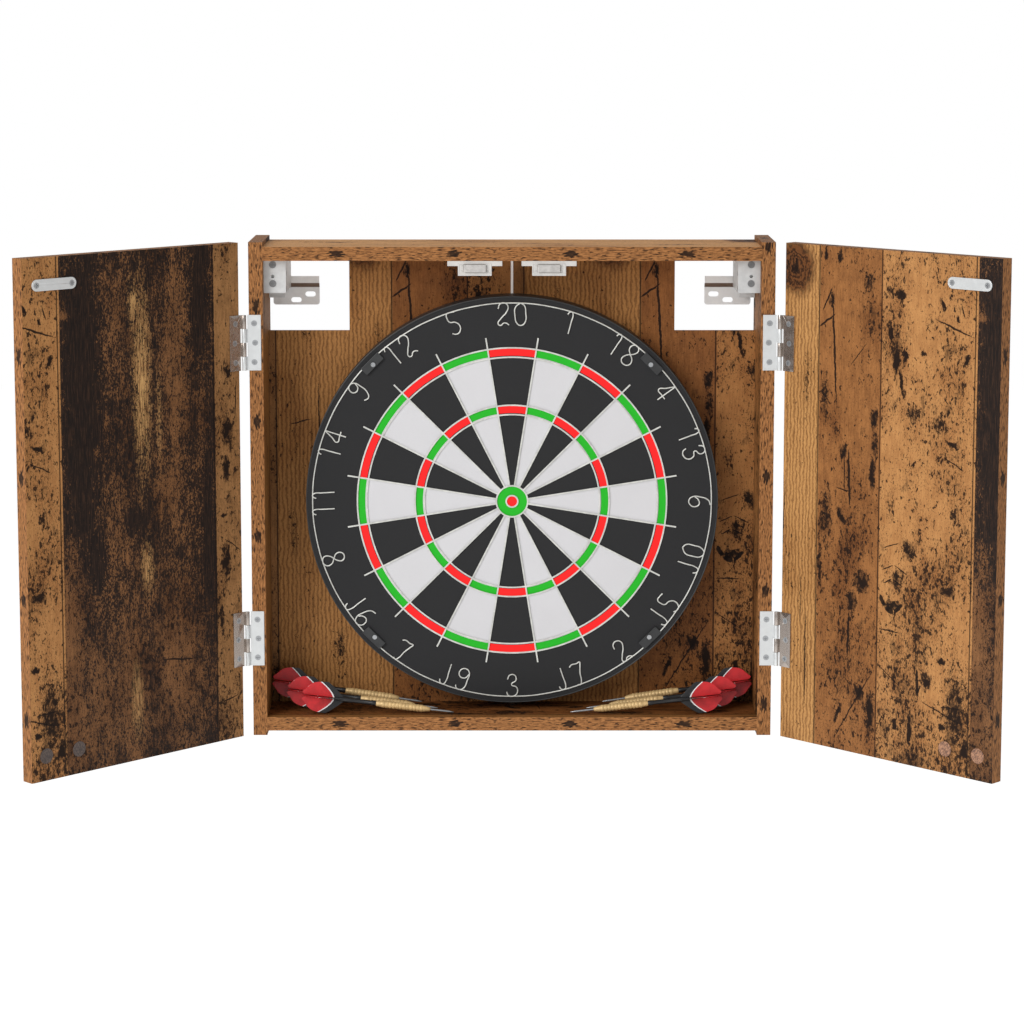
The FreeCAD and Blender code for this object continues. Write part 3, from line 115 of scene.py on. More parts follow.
class Sketch:
    """One node tree under construction."""

    def __init__(self, tree: bpy.types.NodeTree) -> None:
        """Keep the tree that nodes are added to."""
        self.tree = tree

    def feed(self, socket: Socket, value: Any) -> None:
        """Link an input to a socket, or set it to a plain value.

        Args:
            socket: The input.
            value: The socket or value that it takes.
        """
        if isinstance(value, Socket):
            self.tree.links.new(value, socket)
        else:
            socket.default_value = value

    def add(self, kind: str, inputs: dict[Any, Any] | None = None, **settings: Any) -> bpy.types.Node:
        """Add a node.

        Args:
            kind: The node's type name.
            inputs: Values or sockets by input name or number.
            **settings: The node's own properties.

        Returns:
            The new node.
        """
        node = self.tree.nodes.new(kind)
        for name, value in settings.items():
            setattr(node, name, value)
        for key, value in (inputs or {}).items():
            self.feed(node.inputs[key], value)
        return node

    def math(self, operation: str, first: Value, second: Value = 0.0) -> Socket:
        """One arithmetic step."""
        return self.add("ShaderNodeMath", {0: first, 1: second}, operation=operation).outputs[0]

    def times(self, first: Value, second: Value) -> Socket:
        """Product of two values."""
        return self.math("MULTIPLY", first, second)

    def minus(self, first: Value, second: Value) -> Socket:
        """The first value less the second."""
        return self.math("SUBTRACT", first, second)

    def plus(self, first: Value, *others: Value) -> Socket:
        """Sum of all the values.

        Args:
            first: The first value.
            *others: The rest.

        Returns:
            The value socket.
        """
        for other in others:
            first = self.math("ADD", first, other)
        return first

    def swing(self, value: Value, reach: float) -> Socket:
        """How far a value lies from one half, times the reach."""
        return self.times(self.minus(value, 0.5), reach)

    def radius(self, first: Value, second: Value) -> Socket:
        """Distance from an axis, from two places square to it."""
        return self.math("SQRT", self.plus(self.times(first, first), self.times(second, second)))

    def vector(self, x: Value, y: Value, z: Value = 0.0) -> Socket:
        """A vector from its three parts."""
        return self.add("ShaderNodeCombineXYZ", {0: x, 1: y, 2: z}).outputs[0]

    def parts(self, vector: Socket) -> tuple[Socket, ...]:
        """The three parts of a vector."""
        return tuple(self.add("ShaderNodeSeparateXYZ", {0: vector}).outputs)

    def scaled(self, vector: Socket, x: float, y: float, z: float = 1.0) -> Socket:
        """The vector stretched along each axis."""
        return self.add("ShaderNodeVectorMath", {0: vector, 1: (x, y, z)}, operation="MULTIPLY").outputs[0]

    def noise(self, vector: Socket, scale: float, detail: float = 3.0,
              rough: float = 0.55, twist: float = 0.0) -> Socket:
        """Soft random values round one half.

        Args:
            vector: Where to read the noise.
            scale: Features in a metre.
            detail: Octaves.
            rough: Strength of the finer octaves.
            twist: Distortion.

        Returns:
            The value socket.
        """
        return self.add("ShaderNodeTexNoise", {"Vector": vector, "Scale": scale, "Detail": detail,
                                               "Roughness": rough, "Distortion": twist}).outputs[0]

    def smooth(self, value: Value, low: float, high: float, most: float = 1.0) -> Socket:
        """A soft step.

        Args:
            value: The value that it follows.
            low: Where it is 0.
            high: Where it is at its most.
            most: Its most.

        Returns:
            The value socket.
        """
        step = self.add("ShaderNodeMapRange", {"Value": value, "From Min": low, "From Max": high},
                        interpolation_type="SMOOTHSTEP").outputs[0]
        return step if most == 1.0 else self.times(step, most)

    def spread(self, value: Value, low: float, high: float, to_low: float, to_high: float) -> Socket:
        """A straight change of range."""
        return self.add("ShaderNodeMapRange", {"Value": value, "From Min": low, "From Max": high,
                                               "To Min": to_low, "To Max": to_high}).outputs[0]

    def mix(self, share: Value, first: Any, second: Any, blend: str = "MIX") -> Socket:
        """Two colours mixed.

        Args:
            share: How much of the second.
            first: Colour or socket.
            second: Colour or socket.
            blend: Blend type.

        Returns:
            The colour socket.
        """
        pair = [with_alpha(item) if isinstance(item, tuple) else item for item in (first, second)]
        return self.add("ShaderNodeMix", {0: share, 6: pair[0], 7: pair[1]}, data_type="RGBA",
                        blend_type=blend).outputs[2]

    def steps(self, value: Value, stops: Sequence[tuple[float, Colour]]) -> Socket:
        """A colour that changes in hard steps.

        Args:
            value: Where to read it, 0 to 1.
            stops: Where each colour begins, and the colour.

        Returns:
            The colour socket.
        """
        node = self.add("ShaderNodeValToRGB", {0: value})
        band = node.color_ramp
        band.interpolation = "CONSTANT"
        while len(band.elements) < len(stops):
            band.elements.new(1.0)
        for element, (place, colour) in zip(band.elements, stops):
            element.position = place
            element.color = with_alpha(colour)
        return node.outputs[0]

    def blot(self, vector: Socket, middle: Pair, half: Pair, turn: float = 0.0) -> Socket:
        """An oval that falls from 1 at its middle to 0 at its edge.

        Args:
            vector: Where to read it.
            middle: Its middle.
            half: Its half sizes.
            turn: Its turn in radians.

        Returns:
            The value socket.
        """
        spot = self.add("ShaderNodeMapping", {"Vector": vector, "Location": (*middle, 0.0),
                                              "Rotation": (0.0, 0.0, turn), "Scale": (*half, 1.0)},
                        vector_type="TEXTURE").outputs[0]
        return self.add("ShaderNodeTexGradient", {0: spot}, gradient_type="SPHERICAL").outputs[1]

    def largest(self, values: Iterable[Socket]) -> Socket:
        """The largest of the values."""
        return reduce(lambda first, second: self.math("MAXIMUM", first, second), values)


class Surface(Sketch):
    """A material under construction, with its shader already in place."""

    def __init__(self, name: str) -> None:
        """Make the material and find its shader.

        Args:
            name: The material's name.
        """
        self.material = bpy.data.materials.new(name)
        self.material.use_nodes = True
        super().__init__(self.material.node_tree)
        self.shader = self.tree.nodes["Principled BSDF"]

    def place(self) -> Socket:
        """Place on the piece, in metres, in the piece's own frame."""
        return self.add("ShaderNodeTexCoord").outputs["Object"]

    def facing(self) -> Socket:
        """Outward direction, in the piece's own frame."""
        return self.add("ShaderNodeTexCoord").outputs["Normal"]

    def finish(self, **inputs: Any) -> Material:
        """Set the shader's inputs, spelt with _ for a space.

        Args:
            **inputs: Values or sockets.

        Returns:
            The material.
        """
        for name, value in inputs.items():
            if isinstance(value, tuple) and len(value) == 3:
                value = with_alpha(value)
            self.feed(self.shader.inputs[name.replace("_", " ")], value)
        return self.material

    def bump(self, height: Value, distance: float, strength: float = 1.0) -> None:
        """Raise the surface by a height of 0 to 1 times the distance."""
        node = self.add("ShaderNodeBump", {"Height": height, "Distance": distance, "Strength": strength})
        self.feed(self.shader.inputs["Normal"], node.outputs[0])


# ---- plank decor ---------------------------------------------------------------------------------


@dataclass(frozen=True)
class Plank:
    """One printed plank: its left edge in millimetres, its colours and how it is marked.

    pits and grain are strengths from 0 to 1; paint is 1 where dark paint is left on it, else 0."""

    edge: float
    light: Colour
    dark: Colour
    pits: float
    grain: float
    paint: float = 0.0


@dataclass(frozen=True)
class Stain:
    """A ragged oval: middle and half sizes in millimetres, turn in degrees, strength."""

    across: float
    along: float
    half_wide: float
    half_long: float
    turn: float = 0.0
    strength: float = 1.0


@dataclass(frozen=True)
class Crack:
    """A thin dark line between two points, in millimetres."""

    start: Pair
    end: Pair
    wide: float

    def as_stain(self) -> Stain:
        """The crack as a long thin oval, a little longer than the line.

        Returns:
            The oval.
        """
        (left, low), (right, high) = self.start, self.end
        across, along = right - left, high - low
        return Stain((left + right) / 2, (low + high) / 2, self.wide,
                     math.hypot(across, along) / 2 * 1.06, math.degrees(math.atan2(-across, along)))


PINE = (srgb(200, 148, 90), srgb(106, 69, 36))
REDDISH = (srgb(172, 116, 66), srgb(96, 58, 31))
TAN = (srgb(200, 146, 90), srgb(140, 92, 52))
WORN = (srgb(148, 102, 64), srgb(72, 47, 29))
LIGHT = (srgb(178, 130, 82), srgb(100, 68, 40))
GOLD = srgb(208, 164, 106)
PAINT, THIN_PAINT = srgb(25, 20, 19), srgb(62, 43, 32)
PIT = srgb(40, 24, 15)
SEAM = srgb(24, 15, 11)
KNOT_DARK, KNOT_LIGHT = srgb(40, 24, 14), srgb(104, 64, 34)
WEATHERED = (0.62, 0.52, 0.44)

PLANKS = (
    Plank(-120.0, *LIGHT, pits=0.8, grain=0.3),
    Plank(-76.0, *PINE, pits=0.35, grain=1.0),
    Plank(52.0, *REDDISH, pits=0.85, grain=0.12),
    Plank(135.0, *TAN, pits=1.0, grain=0.0),
    Plank(255.0, *WORN, pits=0.8, grain=0.3, paint=1.0),
    Plank(458.0, *LIGHT, pits=1.0, grain=0.15),
    Plank(560.0, *PINE, pits=0.35, grain=1.0),
)
DECOR_START, DECOR_END = -120.0, 700.0

CRACKS = tuple(Crack(*row) for row in (
    ((202, 221), (256, 203), 1.3), ((135, -113), (166, -114), 1.0), ((188, -146), (190, -182), 2.6),
    ((190, -181), (256, -201), 1.0), ((186, -110), (186, -160), 0.7), ((132, -157), (76, -247), 1.0),
    ((69, 243), (77, 112), 1.7), ((51, 199), (75, 217), 1.5), ((55, 216), (71, 246), 1.2),
    ((93, 78), (97, 6), 2.0), ((88, 70), (89, 26), 1.0), ((97, -98), (96, -156), 1.8),
    ((38, -100), (38, -222), 1.1), ((462, -211), (488, -205), 1.0), ((489, 143), (487, 96), 0.9),
    ((135, -150), (168, -172), 0.7), ((218, 78), (245, 66), 0.9), ((76, 31), (98, 28), 1.0),
    ((217, -184), (256, -182), 0.9), ((236, 238), (242, 222), 0.9), ((30, -60), (31, -130), 0.6),
    ((118, 190), (92, 160), 0.6), ((-30, 120), (-26, -40), 1.0), ((8, 40), (4, -70), 0.8),
    ((-62, 60), (-36, 66), 0.9), ((380, -150), (432, -156), 1.2), ((470, -30), (494, -48), 0.8),
    ((138, -76), (145, -89), 3.4), ((144, -89), (158, -94), 4.0), ((157, -94), (169, -82), 3.0),
    ((143, -64), (154, -58), 1.0), ((154, -58), (168, -64), 1.0), ((139, -50), (156, -42), 0.9),
    ((156, -42), (176, -52), 0.9), ((141, -26), (164, -18), 0.8),
))

STAINS = tuple(Stain(*row) for row in (
    (17, 263, 13, 11), (17, 262, 27, 25, 0, 0.62), (127, 108, 8, 18), (129, 82, 6, 24), (126, 52, 5, 24),
    (87, 70, 6, 10), (84, 2, 4, 14, 25), (115, -66, 14, 17), (101, -90, 8, 15, 0, 0.8),
    (84, -212, 4, 15, -20), (127, -205, 7, 30), (112, -186, 8, 9), (64, 0, 12, 46, 0, 0.58),
    (69, 232, 5, 15), (60, 280, 3, 10), (79, 276, 4, 11), (56, -50, 4, 40, 0, 0.7),
    (118, 250, 10, 16, 0, 0.55), (60, 130, 8, 30, 0, 0.5), (155, 172, 5, 15), (166, 178, 4, 9),
    (163, 150, 3, 18, 10), (147, 200, 3, 9), (160, 242, 7, 7), (145, 246, 6, 4), (214, 234, 4, 8, 20),
    (233, 222, 3, 7), (246, 180, 5, 9), (190, 182, 5, 6), (179, 66, 2, 6), (228, 92, 12, 3, -20, 0.8),
    (213, 112, 12, 12, 0, 0.5), (153, -86, 14, 7), (160, -58, 12, 18, 0, 0.62), (172, -24, 15, 14, 0, 0.58),
    (220, -135, 7, 5), (201, -160, 8, 12), (243, -175, 3, 8), (222, -205, 6, 6), (180, -215, 3, 18),
    (160, -212, 3, 8), (250, -226, 5, 8), (178, 120, 16, 10, 0, 0.5), (150, 20, 8, 22, 0, 0.45),
    (232, 20, 8, 12, 0, 0.45), (470, 233, 5, 3), (476, 86, 9, 16, 0, 0.8), (474, 45, 6, 16),
    (470, -4, 6, 4), (478, 150, 10, 12, 0, 0.6), (472, -55, 8, 24, 0, 0.7), (466, -120, 4, 20, 0, 0.6),
    (-40, 190, 10, 60, 0, 0.6), (-8, -190, 14, 40, 0, 0.6), (-58, -60, 9, 50, 0, 0.6),
    (236, -175, 18, 60, 0, 0.5), (36, 130, 5, 60, 0, 0.5), (-20, 30, 6, 70, 0, 0.5),
    (226, -62, 10, 8, 0, 0.5),
))

KNOT = Stain(17, 263, 38, 40)

GOLDEN_PLACES = tuple(Stain(*row) for row in (
    (362, 150, 17, 140), (352, 232, 10, 40, 0, 0.8), (366, -46, 12, 40, 0, 0.8),
    (350, -190, 10, 50, 0, 0.7), (384, 112, 6, 60, 0, 0.6),
))

WORN_PLACES = tuple(Stain(*row) for row in (
    (406, 165, 26, 170, 0, 0.78), (330, 210, 22, 90, 0, 0.45), (267, -100, 20, 110), (268, -205, 27, 110),
    (263, 226, 9, 10), (303, 80, 8, 10, 0, 0.8), (396, 30, 26, 70, 0, 0.7), (330, -10, 28, 70, 0, 0.55),
    (345, -160, 40, 130, 0, 0.6), (405, -150, 48, 130, 0, 0.66), (300, -190, 42, 90, 0, 0.62),
    (440, 110, 10, 90, 0, 0.4), (290, -60, 20, 50, 0, 0.4),
))

KEPT_PLACES = tuple(Stain(*row) for row in (
    (284, 140, 32, 210), (296, -30, 22, 50, 0, 0.9), (440, 240, 16, 120, 0, 0.8), (348, 5, 26, 22, 0, 0.8),
    (448, -30, 12, 120, 0, 0.7),
))


class PlankDecor(Sketch):
    """The printed plank pattern that all the boards share.

    Its two inputs are metres across and along the planks; it gives a colour, a height and a
    roughness."""

    def __init__(self) -> None:
        """Make the group, the noises that its parts share, and the decor."""
        self.group = bpy.data.node_groups.new("plank_decor", "ShaderNodeTree")
        for name, way, kind in (("Across", "INPUT", "Float"), ("Along", "INPUT", "Float"),
                                ("Colour", "OUTPUT", "Color"), ("Height", "OUTPUT", "Float"),
                                ("Roughness", "OUTPUT", "Float")):
            self.group.interface.new_socket(name, in_out=way, socket_type=f"NodeSocket{kind}")
        super().__init__(self.group)
        source = self.add("NodeGroupInput")
        self.across, along = source.outputs["Across"], source.outputs["Along"]
        self.flat = self.vector(self.across, along)
        self.bent = self.swayed(70.0, (0.009, 0.017))
        self.position = self.spread(self.across, DECOR_START * MM, DECOR_END * MM, 0.0, 1.0)
        self.low_down = self.smooth(self.times(along, -1.0), 0.02, 0.2)
        self.hair = self.noise(self.scaled(self.flat, 1.0, 0.05), 900.0, 3.0, 0.7)
        self.cloud = self.noise(self.scaled(self.flat, 1.0, 0.5), 15.0, 3.0, 0.6)
        self.patch = self.noise(self.scaled(self.flat, 1.0, 0.45), 75.0, 5.0, 0.72)
        self.fine = self.noise(self.scaled(self.flat, 1.0, 0.45), 620.0, 3.0, 0.75)
        self.draw()

    def swayed(self, scale: float, reach: Pair) -> Socket:
        """The place with a waver, so that drawn marks are ragged.

        Args:
            scale: Wavers in a metre.
            reach: Largest shift each way.

        Returns:
            The vector socket.
        """
        sway = self.add("ShaderNodeTexNoise", {"Vector": self.flat, "Scale": scale, "Detail": 3.0,
                                               "Roughness": 0.65}).outputs[1]
        centred = self.add("ShaderNodeVectorMath", {0: sway, 1: (0.5, 0.5, 0.5)},
                           operation="SUBTRACT").outputs[0]
        return self.add("ShaderNodeVectorMath", {0: self.flat, 1: self.scaled(centred, *reach, 0.0)},
                        operation="ADD").outputs[0]

    def by_plank(self, pick: Callable[[Plank], Colour]) -> Socket:
        """A colour that changes from plank to plank.

        Args:
            pick: The colour of one plank.

        Returns:
            The colour socket.
        """
        wide = DECOR_END - DECOR_START
        return self.steps(self.position,
                          [((plank.edge - DECOR_START) / wide, pick(plank)) for plank in PLANKS])

    def oval(self, place: Socket, stain: Stain) -> Socket:
        """One stain at its place, at full strength."""
        return self.blot(place, (stain.across * MM, stain.along * MM),
                         (stain.half_wide * MM, stain.half_long * MM), math.radians(stain.turn))

    def marks(self, place: Socket, stains: Iterable[Stain]) -> Socket:
        """The strongest of the stains at each place.

        Args:
            place: Where to read them.
            stains: The stains.

        Returns:
            The value socket.
        """
        ovals = ((self.oval(place, stain), stain.strength) for stain in stains)
        return self.largest(oval if strength == 1.0 else self.times(oval, strength)
                            for oval, strength in ovals)

    def draw(self) -> None:
        """Lay out the whole decor: bare wood, pits and stains, paint, cracks and seams."""
        amounts = self.by_plank(lambda plank: (plank.pits, plank.grain, plank.paint))
        pitted, grained, painted = tuple(self.add("ShaderNodeSeparateColor", {0: amounts}).outputs)[:3]
        lift = self.plus(self.swing(self.cloud, 0.42), self.times(self.low_down, 0.035),
                         self.times(self.minus(pitted, 1.0), 0.13),
                         self.times(self.marks(self.bent, STAINS), 0.30))
        pits = self.noise(self.scaled(self.flat, 1.0, 0.55), 230.0, 3.0, 0.7, 0.3)
        large = self.smooth(self.plus(pits, lift), 0.565, 0.625)
        colour = self.ground(grained)
        colour = self.mix(self.smooth(self.plus(self.patch, lift), 0.56, 0.68, 0.55), colour, PIT)
        colour = self.mix(self.smooth(self.plus(self.fine, lift), 0.535, 0.62, 0.72), colour, PIT)
        colour = self.mix(self.times(large, 0.9), colour, SEAM)
        colour = self.painted(colour, painted)
        cracks = self.marks(self.swayed(90.0, (0.004, 0.004)), [crack.as_stain() for crack in CRACKS])
        edge = self.plus(cracks, self.swing(self.fine, 0.7))
        colour = self.mix(self.smooth(edge, 0.08, 0.3, 0.95), colour, SEAM)
        away = [self.math("ABSOLUTE", self.minus(self.across, plank.edge * MM)) for plank in PLANKS[1:]]
        seams = self.largest(self.smooth(distance, 0.0012, 0.0003) for distance in away)
        colour = self.mix(self.times(seams, 0.85), colour, SEAM)
        height = self.minus(self.times(self.hair, 0.6), self.smooth(pits, 0.60, 0.655))
        rough = self.spread(self.plus(self.hair, large), 0.0, 1.6, 0.5, 0.72)
        self.add("NodeGroupOutput", {"Colour": colour, "Height": height, "Roughness": rough})

    def ground(self, grained: Socket) -> Socket:
        """Bare wood of each plank, with its growth lines and the ringed knot.

        Args:
            grained: How much the plank shows growth lines.

        Returns:
            The colour socket.
        """
        waves = self.add("ShaderNodeTexWave", {"Vector": self.scaled(self.bent, 1.0, 0.10), "Scale": 68.0,
                                               "Distortion": 1.5, "Detail": 2.0,
                                               "Detail Scale": 0.5}).outputs[1]
        rings = self.times(self.smooth(waves, 0.05, 0.75), grained)
        plain = self.times(self.minus(1.0, grained), self.smooth(self.patch, 0.3, 0.7))
        tone = self.plus(self.times(self.plus(rings, plain), 0.42), self.smooth(self.hair, 0.28, 0.72, 0.3),
                         self.smooth(self.fine, 0.3, 0.7, 0.28))
        dark, light = self.by_plank(lambda plank: plank.dark), self.by_plank(lambda plank: plank.light)
        colour = self.mix(tone, dark, light)
        deep = self.mix(1.0, colour, WEATHERED, "MULTIPLY")
        colour = self.mix(self.smooth(self.cloud, 0.45, 0.75, 0.8), colour, deep)
        halo = self.oval(self.bent, KNOT)
        ripples = self.math("SINE", self.times(self.plus(halo, self.patch), 34.0))
        ringed = self.mix(self.smooth(ripples, -1.4, 1.0), KNOT_DARK, KNOT_LIGHT)
        return self.mix(self.smooth(halo, 0.04, 0.5), colour, ringed)

    def painted(self, colour: Socket, share: Socket) -> Socket:
        """Worn dark paint over the bare wood of the dark plank.

        Args:
            colour: The bare wood.
            share: 1 on the painted plank, else 0.

        Returns:
            The colour socket.
        """
        worn, streak, kept = (self.marks(self.bent, places)
                              for places in (WORN_PLACES, GOLDEN_PLACES, KEPT_PLACES))
        flakes = self.noise(self.scaled(self.bent, 1.0, 0.28), 240.0, 5.0, 0.8, 0.2)
        bare = self.plus(flakes, self.swing(self.patch, 0.7), self.swing(self.fine, 1.6),
                         self.times(self.math("MAXIMUM", worn, streak), 0.35),
                         self.times(self.low_down, 0.06))
        bare = self.smooth(self.minus(bare, self.times(kept, 0.34)), 0.53, 0.70)
        gilt = self.times(streak, self.smooth(self.hair, 0.37, 0.60))
        colour = self.mix(self.times(gilt, share), colour, GOLD)
        cover = self.times(share, self.minus(1.0, bare))
        film = self.mix(self.smooth(self.hair, 0.45, 0.7), PAINT, THIN_PAINT)
        return self.mix(self.times(cover, 0.98), colour, film)


BAND_LIGHT, BAND_DARK = srgb(172, 118, 70), srgb(104, 66, 37)
FLECK_PITCH, FLECK_HALF = 0.125, (0.008, 0.016)
SQUARE_ON = 0.7


@dataclass(frozen=True)
class BoardFinish:
    """Laminated board: the plank decor on its faces and edge banding round it.

    across and along are the directions of the decor on this board, and across_start and
    along_start the decor's place at the row frame's origin. middle is the board's middle, and
    tone multiplies the print's colour."""

    name: str
    across: Vector
    along: Vector
    across_start: float
    along_start: float
    middle: Vector
    # tone is a painted shade or painted highlight: it multiplies the print's colour to suit where the panel
    # sits in the light.
    tone: Colour = (1.0, 1.0, 1.0)

    def board_frame(self, surface: Surface, vector: Socket, kind: str) -> Socket:
        """The vector as (across, through, along) of the board.

        Args:
            surface: The material.
            vector: A place or a direction in the piece's frame.
            kind: POINT for a place, VECTOR for a direction.

        Returns:
            The vector socket.
        """
        through = self.along.cross(self.across)
        turn = Matrix((self.across, through, self.along)).to_euler("XYZ")
        inputs: dict[Any, Any] = {"Vector": vector, "Rotation": tuple(turn)}
        if kind == "POINT":
            inputs["Location"] = (self.across_start, 0.0, self.along_start)
        return surface.add("ShaderNodeMapping", inputs, vector_type=kind).outputs[0]

    def banding(self, surface: Surface, length: Socket, width: Socket) -> Socket:
        """Colour of the edge band: fine streaks and a dark fleck every so often.

        Args:
            surface: The material.
            length: Place along the edge.
            width: Place across it.

        Returns:
            The colour socket.
        """
        place = surface.vector(width, length)
        streaks = surface.noise(surface.scaled(place, 1.0, 0.14), 900.0, 3.0, 0.6)
        dashes = surface.noise(surface.scaled(place, 1.0, 0.22), 620.0, 2.0, 0.5)
        colour = surface.mix(surface.smooth(streaks, 0.3, 0.7), BAND_DARK, BAND_LIGHT)
        colour = surface.mix(surface.smooth(dashes, 0.55, 0.63, 0.8), colour, PIT)
        cell = surface.math("FRACT", surface.math("DIVIDE", surface.plus(length, 5.0), FLECK_PITCH))
        fleck = surface.blot(surface.vector(width, surface.swing(cell, FLECK_PITCH)), (0.0, 0.0), FLECK_HALF)
        edge = surface.plus(fleck, surface.swing(dashes, 1.6))
        return surface.mix(surface.smooth(edge, 0.42, 0.62, 0.9), colour, SEAM)

    def make(self, decor: PlankDecor) -> Material:
        """Make the material.

        Args:
            decor: The shared decor.

        Returns:
            The material.
        """
        surface = Surface(self.name)
        across, through, along = surface.parts(self.board_frame(surface, surface.place(), "POINT"))
        ways = [surface.math("ABSOLUTE", part)
                for part in surface.parts(self.board_frame(surface, surface.facing(), "VECTOR"))]
        face = surface.math("GREATER_THAN", ways[1], SQUARE_ON)
        print_node = surface.add("ShaderNodeGroup", node_tree=decor.group)
        surface.feed(print_node.inputs["Across"], across)
        surface.feed(print_node.inputs["Along"], along)
        end_grain = surface.math("GREATER_THAN", ways[2], SQUARE_ON)
        length = surface.plus(surface.times(across, end_grain),
                              surface.times(along, surface.minus(1.0, end_grain)))
        centre = self.along.cross(self.across).dot(self.middle)
        band = self.banding(surface, length, surface.minus(through, centre))
        # The print's colour times tone: the panel's painted shade or painted highlight.
        print_with_painted_light = surface.mix(1.0, print_node.outputs["Colour"], self.tone, "MULTIPLY")
        rough = surface.plus(surface.times(print_node.outputs["Roughness"], face),
                             surface.times(surface.minus(1.0, face), 0.5))
        surface.bump(surface.times(print_node.outputs["Height"], face), 0.00012)
        return surface.finish(Base_Color=surface.mix(face, band, print_with_painted_light), Roughness=rough,
                              Specular_IOR_Level=0.12)


# ---- other finishes ------------------------------------------------------------------------------


# Painted shade: brown drawn across the wall plate's fold, for the shade there tinted by the wood reflected in
# it.
FOLD_PAINTED_SHADE = srgb(96, 70, 50)


@dataclass(frozen=True)
class MetalFinish:
    """Plated, turned or lacquered metal with a fine drawn texture.

    The fold band's height range is where a brown painted shade is drawn on the metal, for the shade in the
    plate's fold with the wood's colour reflected in it."""

    name: str
    colour: Colour
    metallic: float = 1.0
    rough: float = 0.34
    draw: tuple[float, float, float] = (1.0, 1.0, 0.05)
    mottle: float = 0.12
    bend: Pair | None = None

    def make(self) -> Material:
        """Make the material.

        Returns:
            The material.
        """
        surface = Surface(self.name)
        place = surface.place()
        scratches = surface.noise(surface.scaled(place, *self.draw), 2600.0, 3.0, 0.6)
        bloom = surface.noise(place, 130.0, 4.0, 0.6)
        colour = surface.mix(surface.smooth(bloom, 0.3, 0.7), darker(self.colour, 1.0 - 2 * self.mottle),
                             self.colour)
        # Lay the brown painted shade across the fold's height range.
        if self.bend:
            height, soft = surface.parts(place)[2], 0.0004
            low, high = self.bend
            in_painted_shade = surface.times(surface.smooth(height, low - soft, low + soft),
                                   surface.smooth(height, high + soft, high - soft))
            colour = surface.mix(in_painted_shade, colour, FOLD_PAINTED_SHADE)
        blend = surface.plus(surface.times(bloom, 0.5), surface.times(scratches, 0.5))
        rough = surface.spread(blend, 0.25, 0.75, self.rough - 0.08, self.rough + 0.12)
        surface.bump(scratches, 0.00001)
        return surface.finish(Base_Color=colour, Roughness=rough, Metallic=self.metallic)


@dataclass(frozen=True)
class PlasticFinish:
    """Moulded plastic with a faint texture; a glow above zero is painted light, an emission that brightens a
    part lying in shade.
    """

    name: str
    colour: Colour
    rough: float = 0.42
    grain: float = 1400.0
    glow: float = 0.0

    def make(self) -> Material:
        """Make the material.

        Returns:
            The material.
        """
        surface = Surface(self.name)
        place = surface.place()
        speckle = surface.noise(place, self.grain, 2.0, 0.5)
        cloud = surface.noise(place, 60.0, 3.0, 0.5)
        colour = surface.mix(surface.smooth(cloud, 0.3, 0.7), darker(self.colour, 0.86), self.colour)
        rough = surface.spread(speckle, 0.3, 0.7, self.rough - 0.05, self.rough + 0.08)
        surface.bump(speckle, 0.00002)
        return surface.finish(Base_Color=colour, Roughness=rough, Emission_Color=self.colour,
                              Emission_Strength=self.glow)


@dataclass(frozen=True)
class SisalFinish:
    """Dyed bristle of the board: its sectors, two scoring rings and the bull.

    teeth is the height of the waves round the bull's edge; all lengths are radii in metres."""

    name: str = "sisal_fields"
    sectors: int = 20
    bull_core: float = 0.0066
    bull: float = 0.0172
    treble: Pair = (0.0975, 0.1062)
    double: Pair = (0.1605, 0.1692)
    black: Colour = srgb(41, 41, 42)
    white: Colour = srgb(205, 204, 206)
    teeth: float = 0.0006
    red: Colour = srgb(255, 38, 38)
    green: Colour = srgb(38, 176, 40)

    @staticmethod
    def within(surface: Surface, radius: Socket, low: float, high: float) -> Socket:
        """1 between two radii, else 0."""
        return surface.times(surface.math("GREATER_THAN", radius, low),
                             surface.math("LESS_THAN", radius, high))

    def make(self) -> Material:
        """Make the material.

        Returns:
            The material.
        """
        surface = Surface(self.name)
        place = surface.place()
        x, _, z = surface.parts(place)
        radius = surface.radius(x, z)
        angle = surface.math("DIVIDE", surface.math("ARCTAN2", x, z), 2 * math.pi / self.sectors)
        index = surface.math("FLOOR", surface.plus(angle, self.sectors + 0.5))
        odd = surface.math("MODULO", index, 2.0)
        plain = surface.mix(odd, self.black, self.white)
        scoring = surface.mix(odd, self.red, self.green)
        rings = surface.largest(self.within(surface, radius, *ring) for ring in (self.treble, self.double))
        colour = surface.mix(rings, plain, scoring)
        waves = surface.math("SINE", surface.times(angle, 4 * math.pi))
        edge = surface.plus(surface.times(waves, self.teeth), self.bull)
        colour = surface.mix(surface.math("LESS_THAN", radius, edge), colour, self.green)
        colour = surface.mix(surface.math("LESS_THAN", radius, self.bull_core), colour, self.red)
        colour = surface.mix(surface.math("GREATER_THAN", radius, self.double[1]), colour, self.black)
        bristle = surface.noise(place, 2400.0, 3.0, 0.7)
        cloud = surface.noise(place, 22.0, 3.0, 0.5)
        for shade, grey in ((surface.spread(bristle, 0.3, 0.75, 0.0, 0.22), 0.72),
                            (surface.spread(cloud, 0.35, 0.7, 0.0, 0.2), 0.86)):
            colour = surface.mix(shade, colour, surface.mix(1.0, colour, (grey, grey, grey), "MULTIPLY"))
        rough = surface.spread(bristle, 0.3, 0.7, 0.78, 0.95)
        surface.bump(bristle, 0.00015)
        return surface.finish(Base_Color=colour, Roughness=rough, Specular_IOR_Level=0.25)


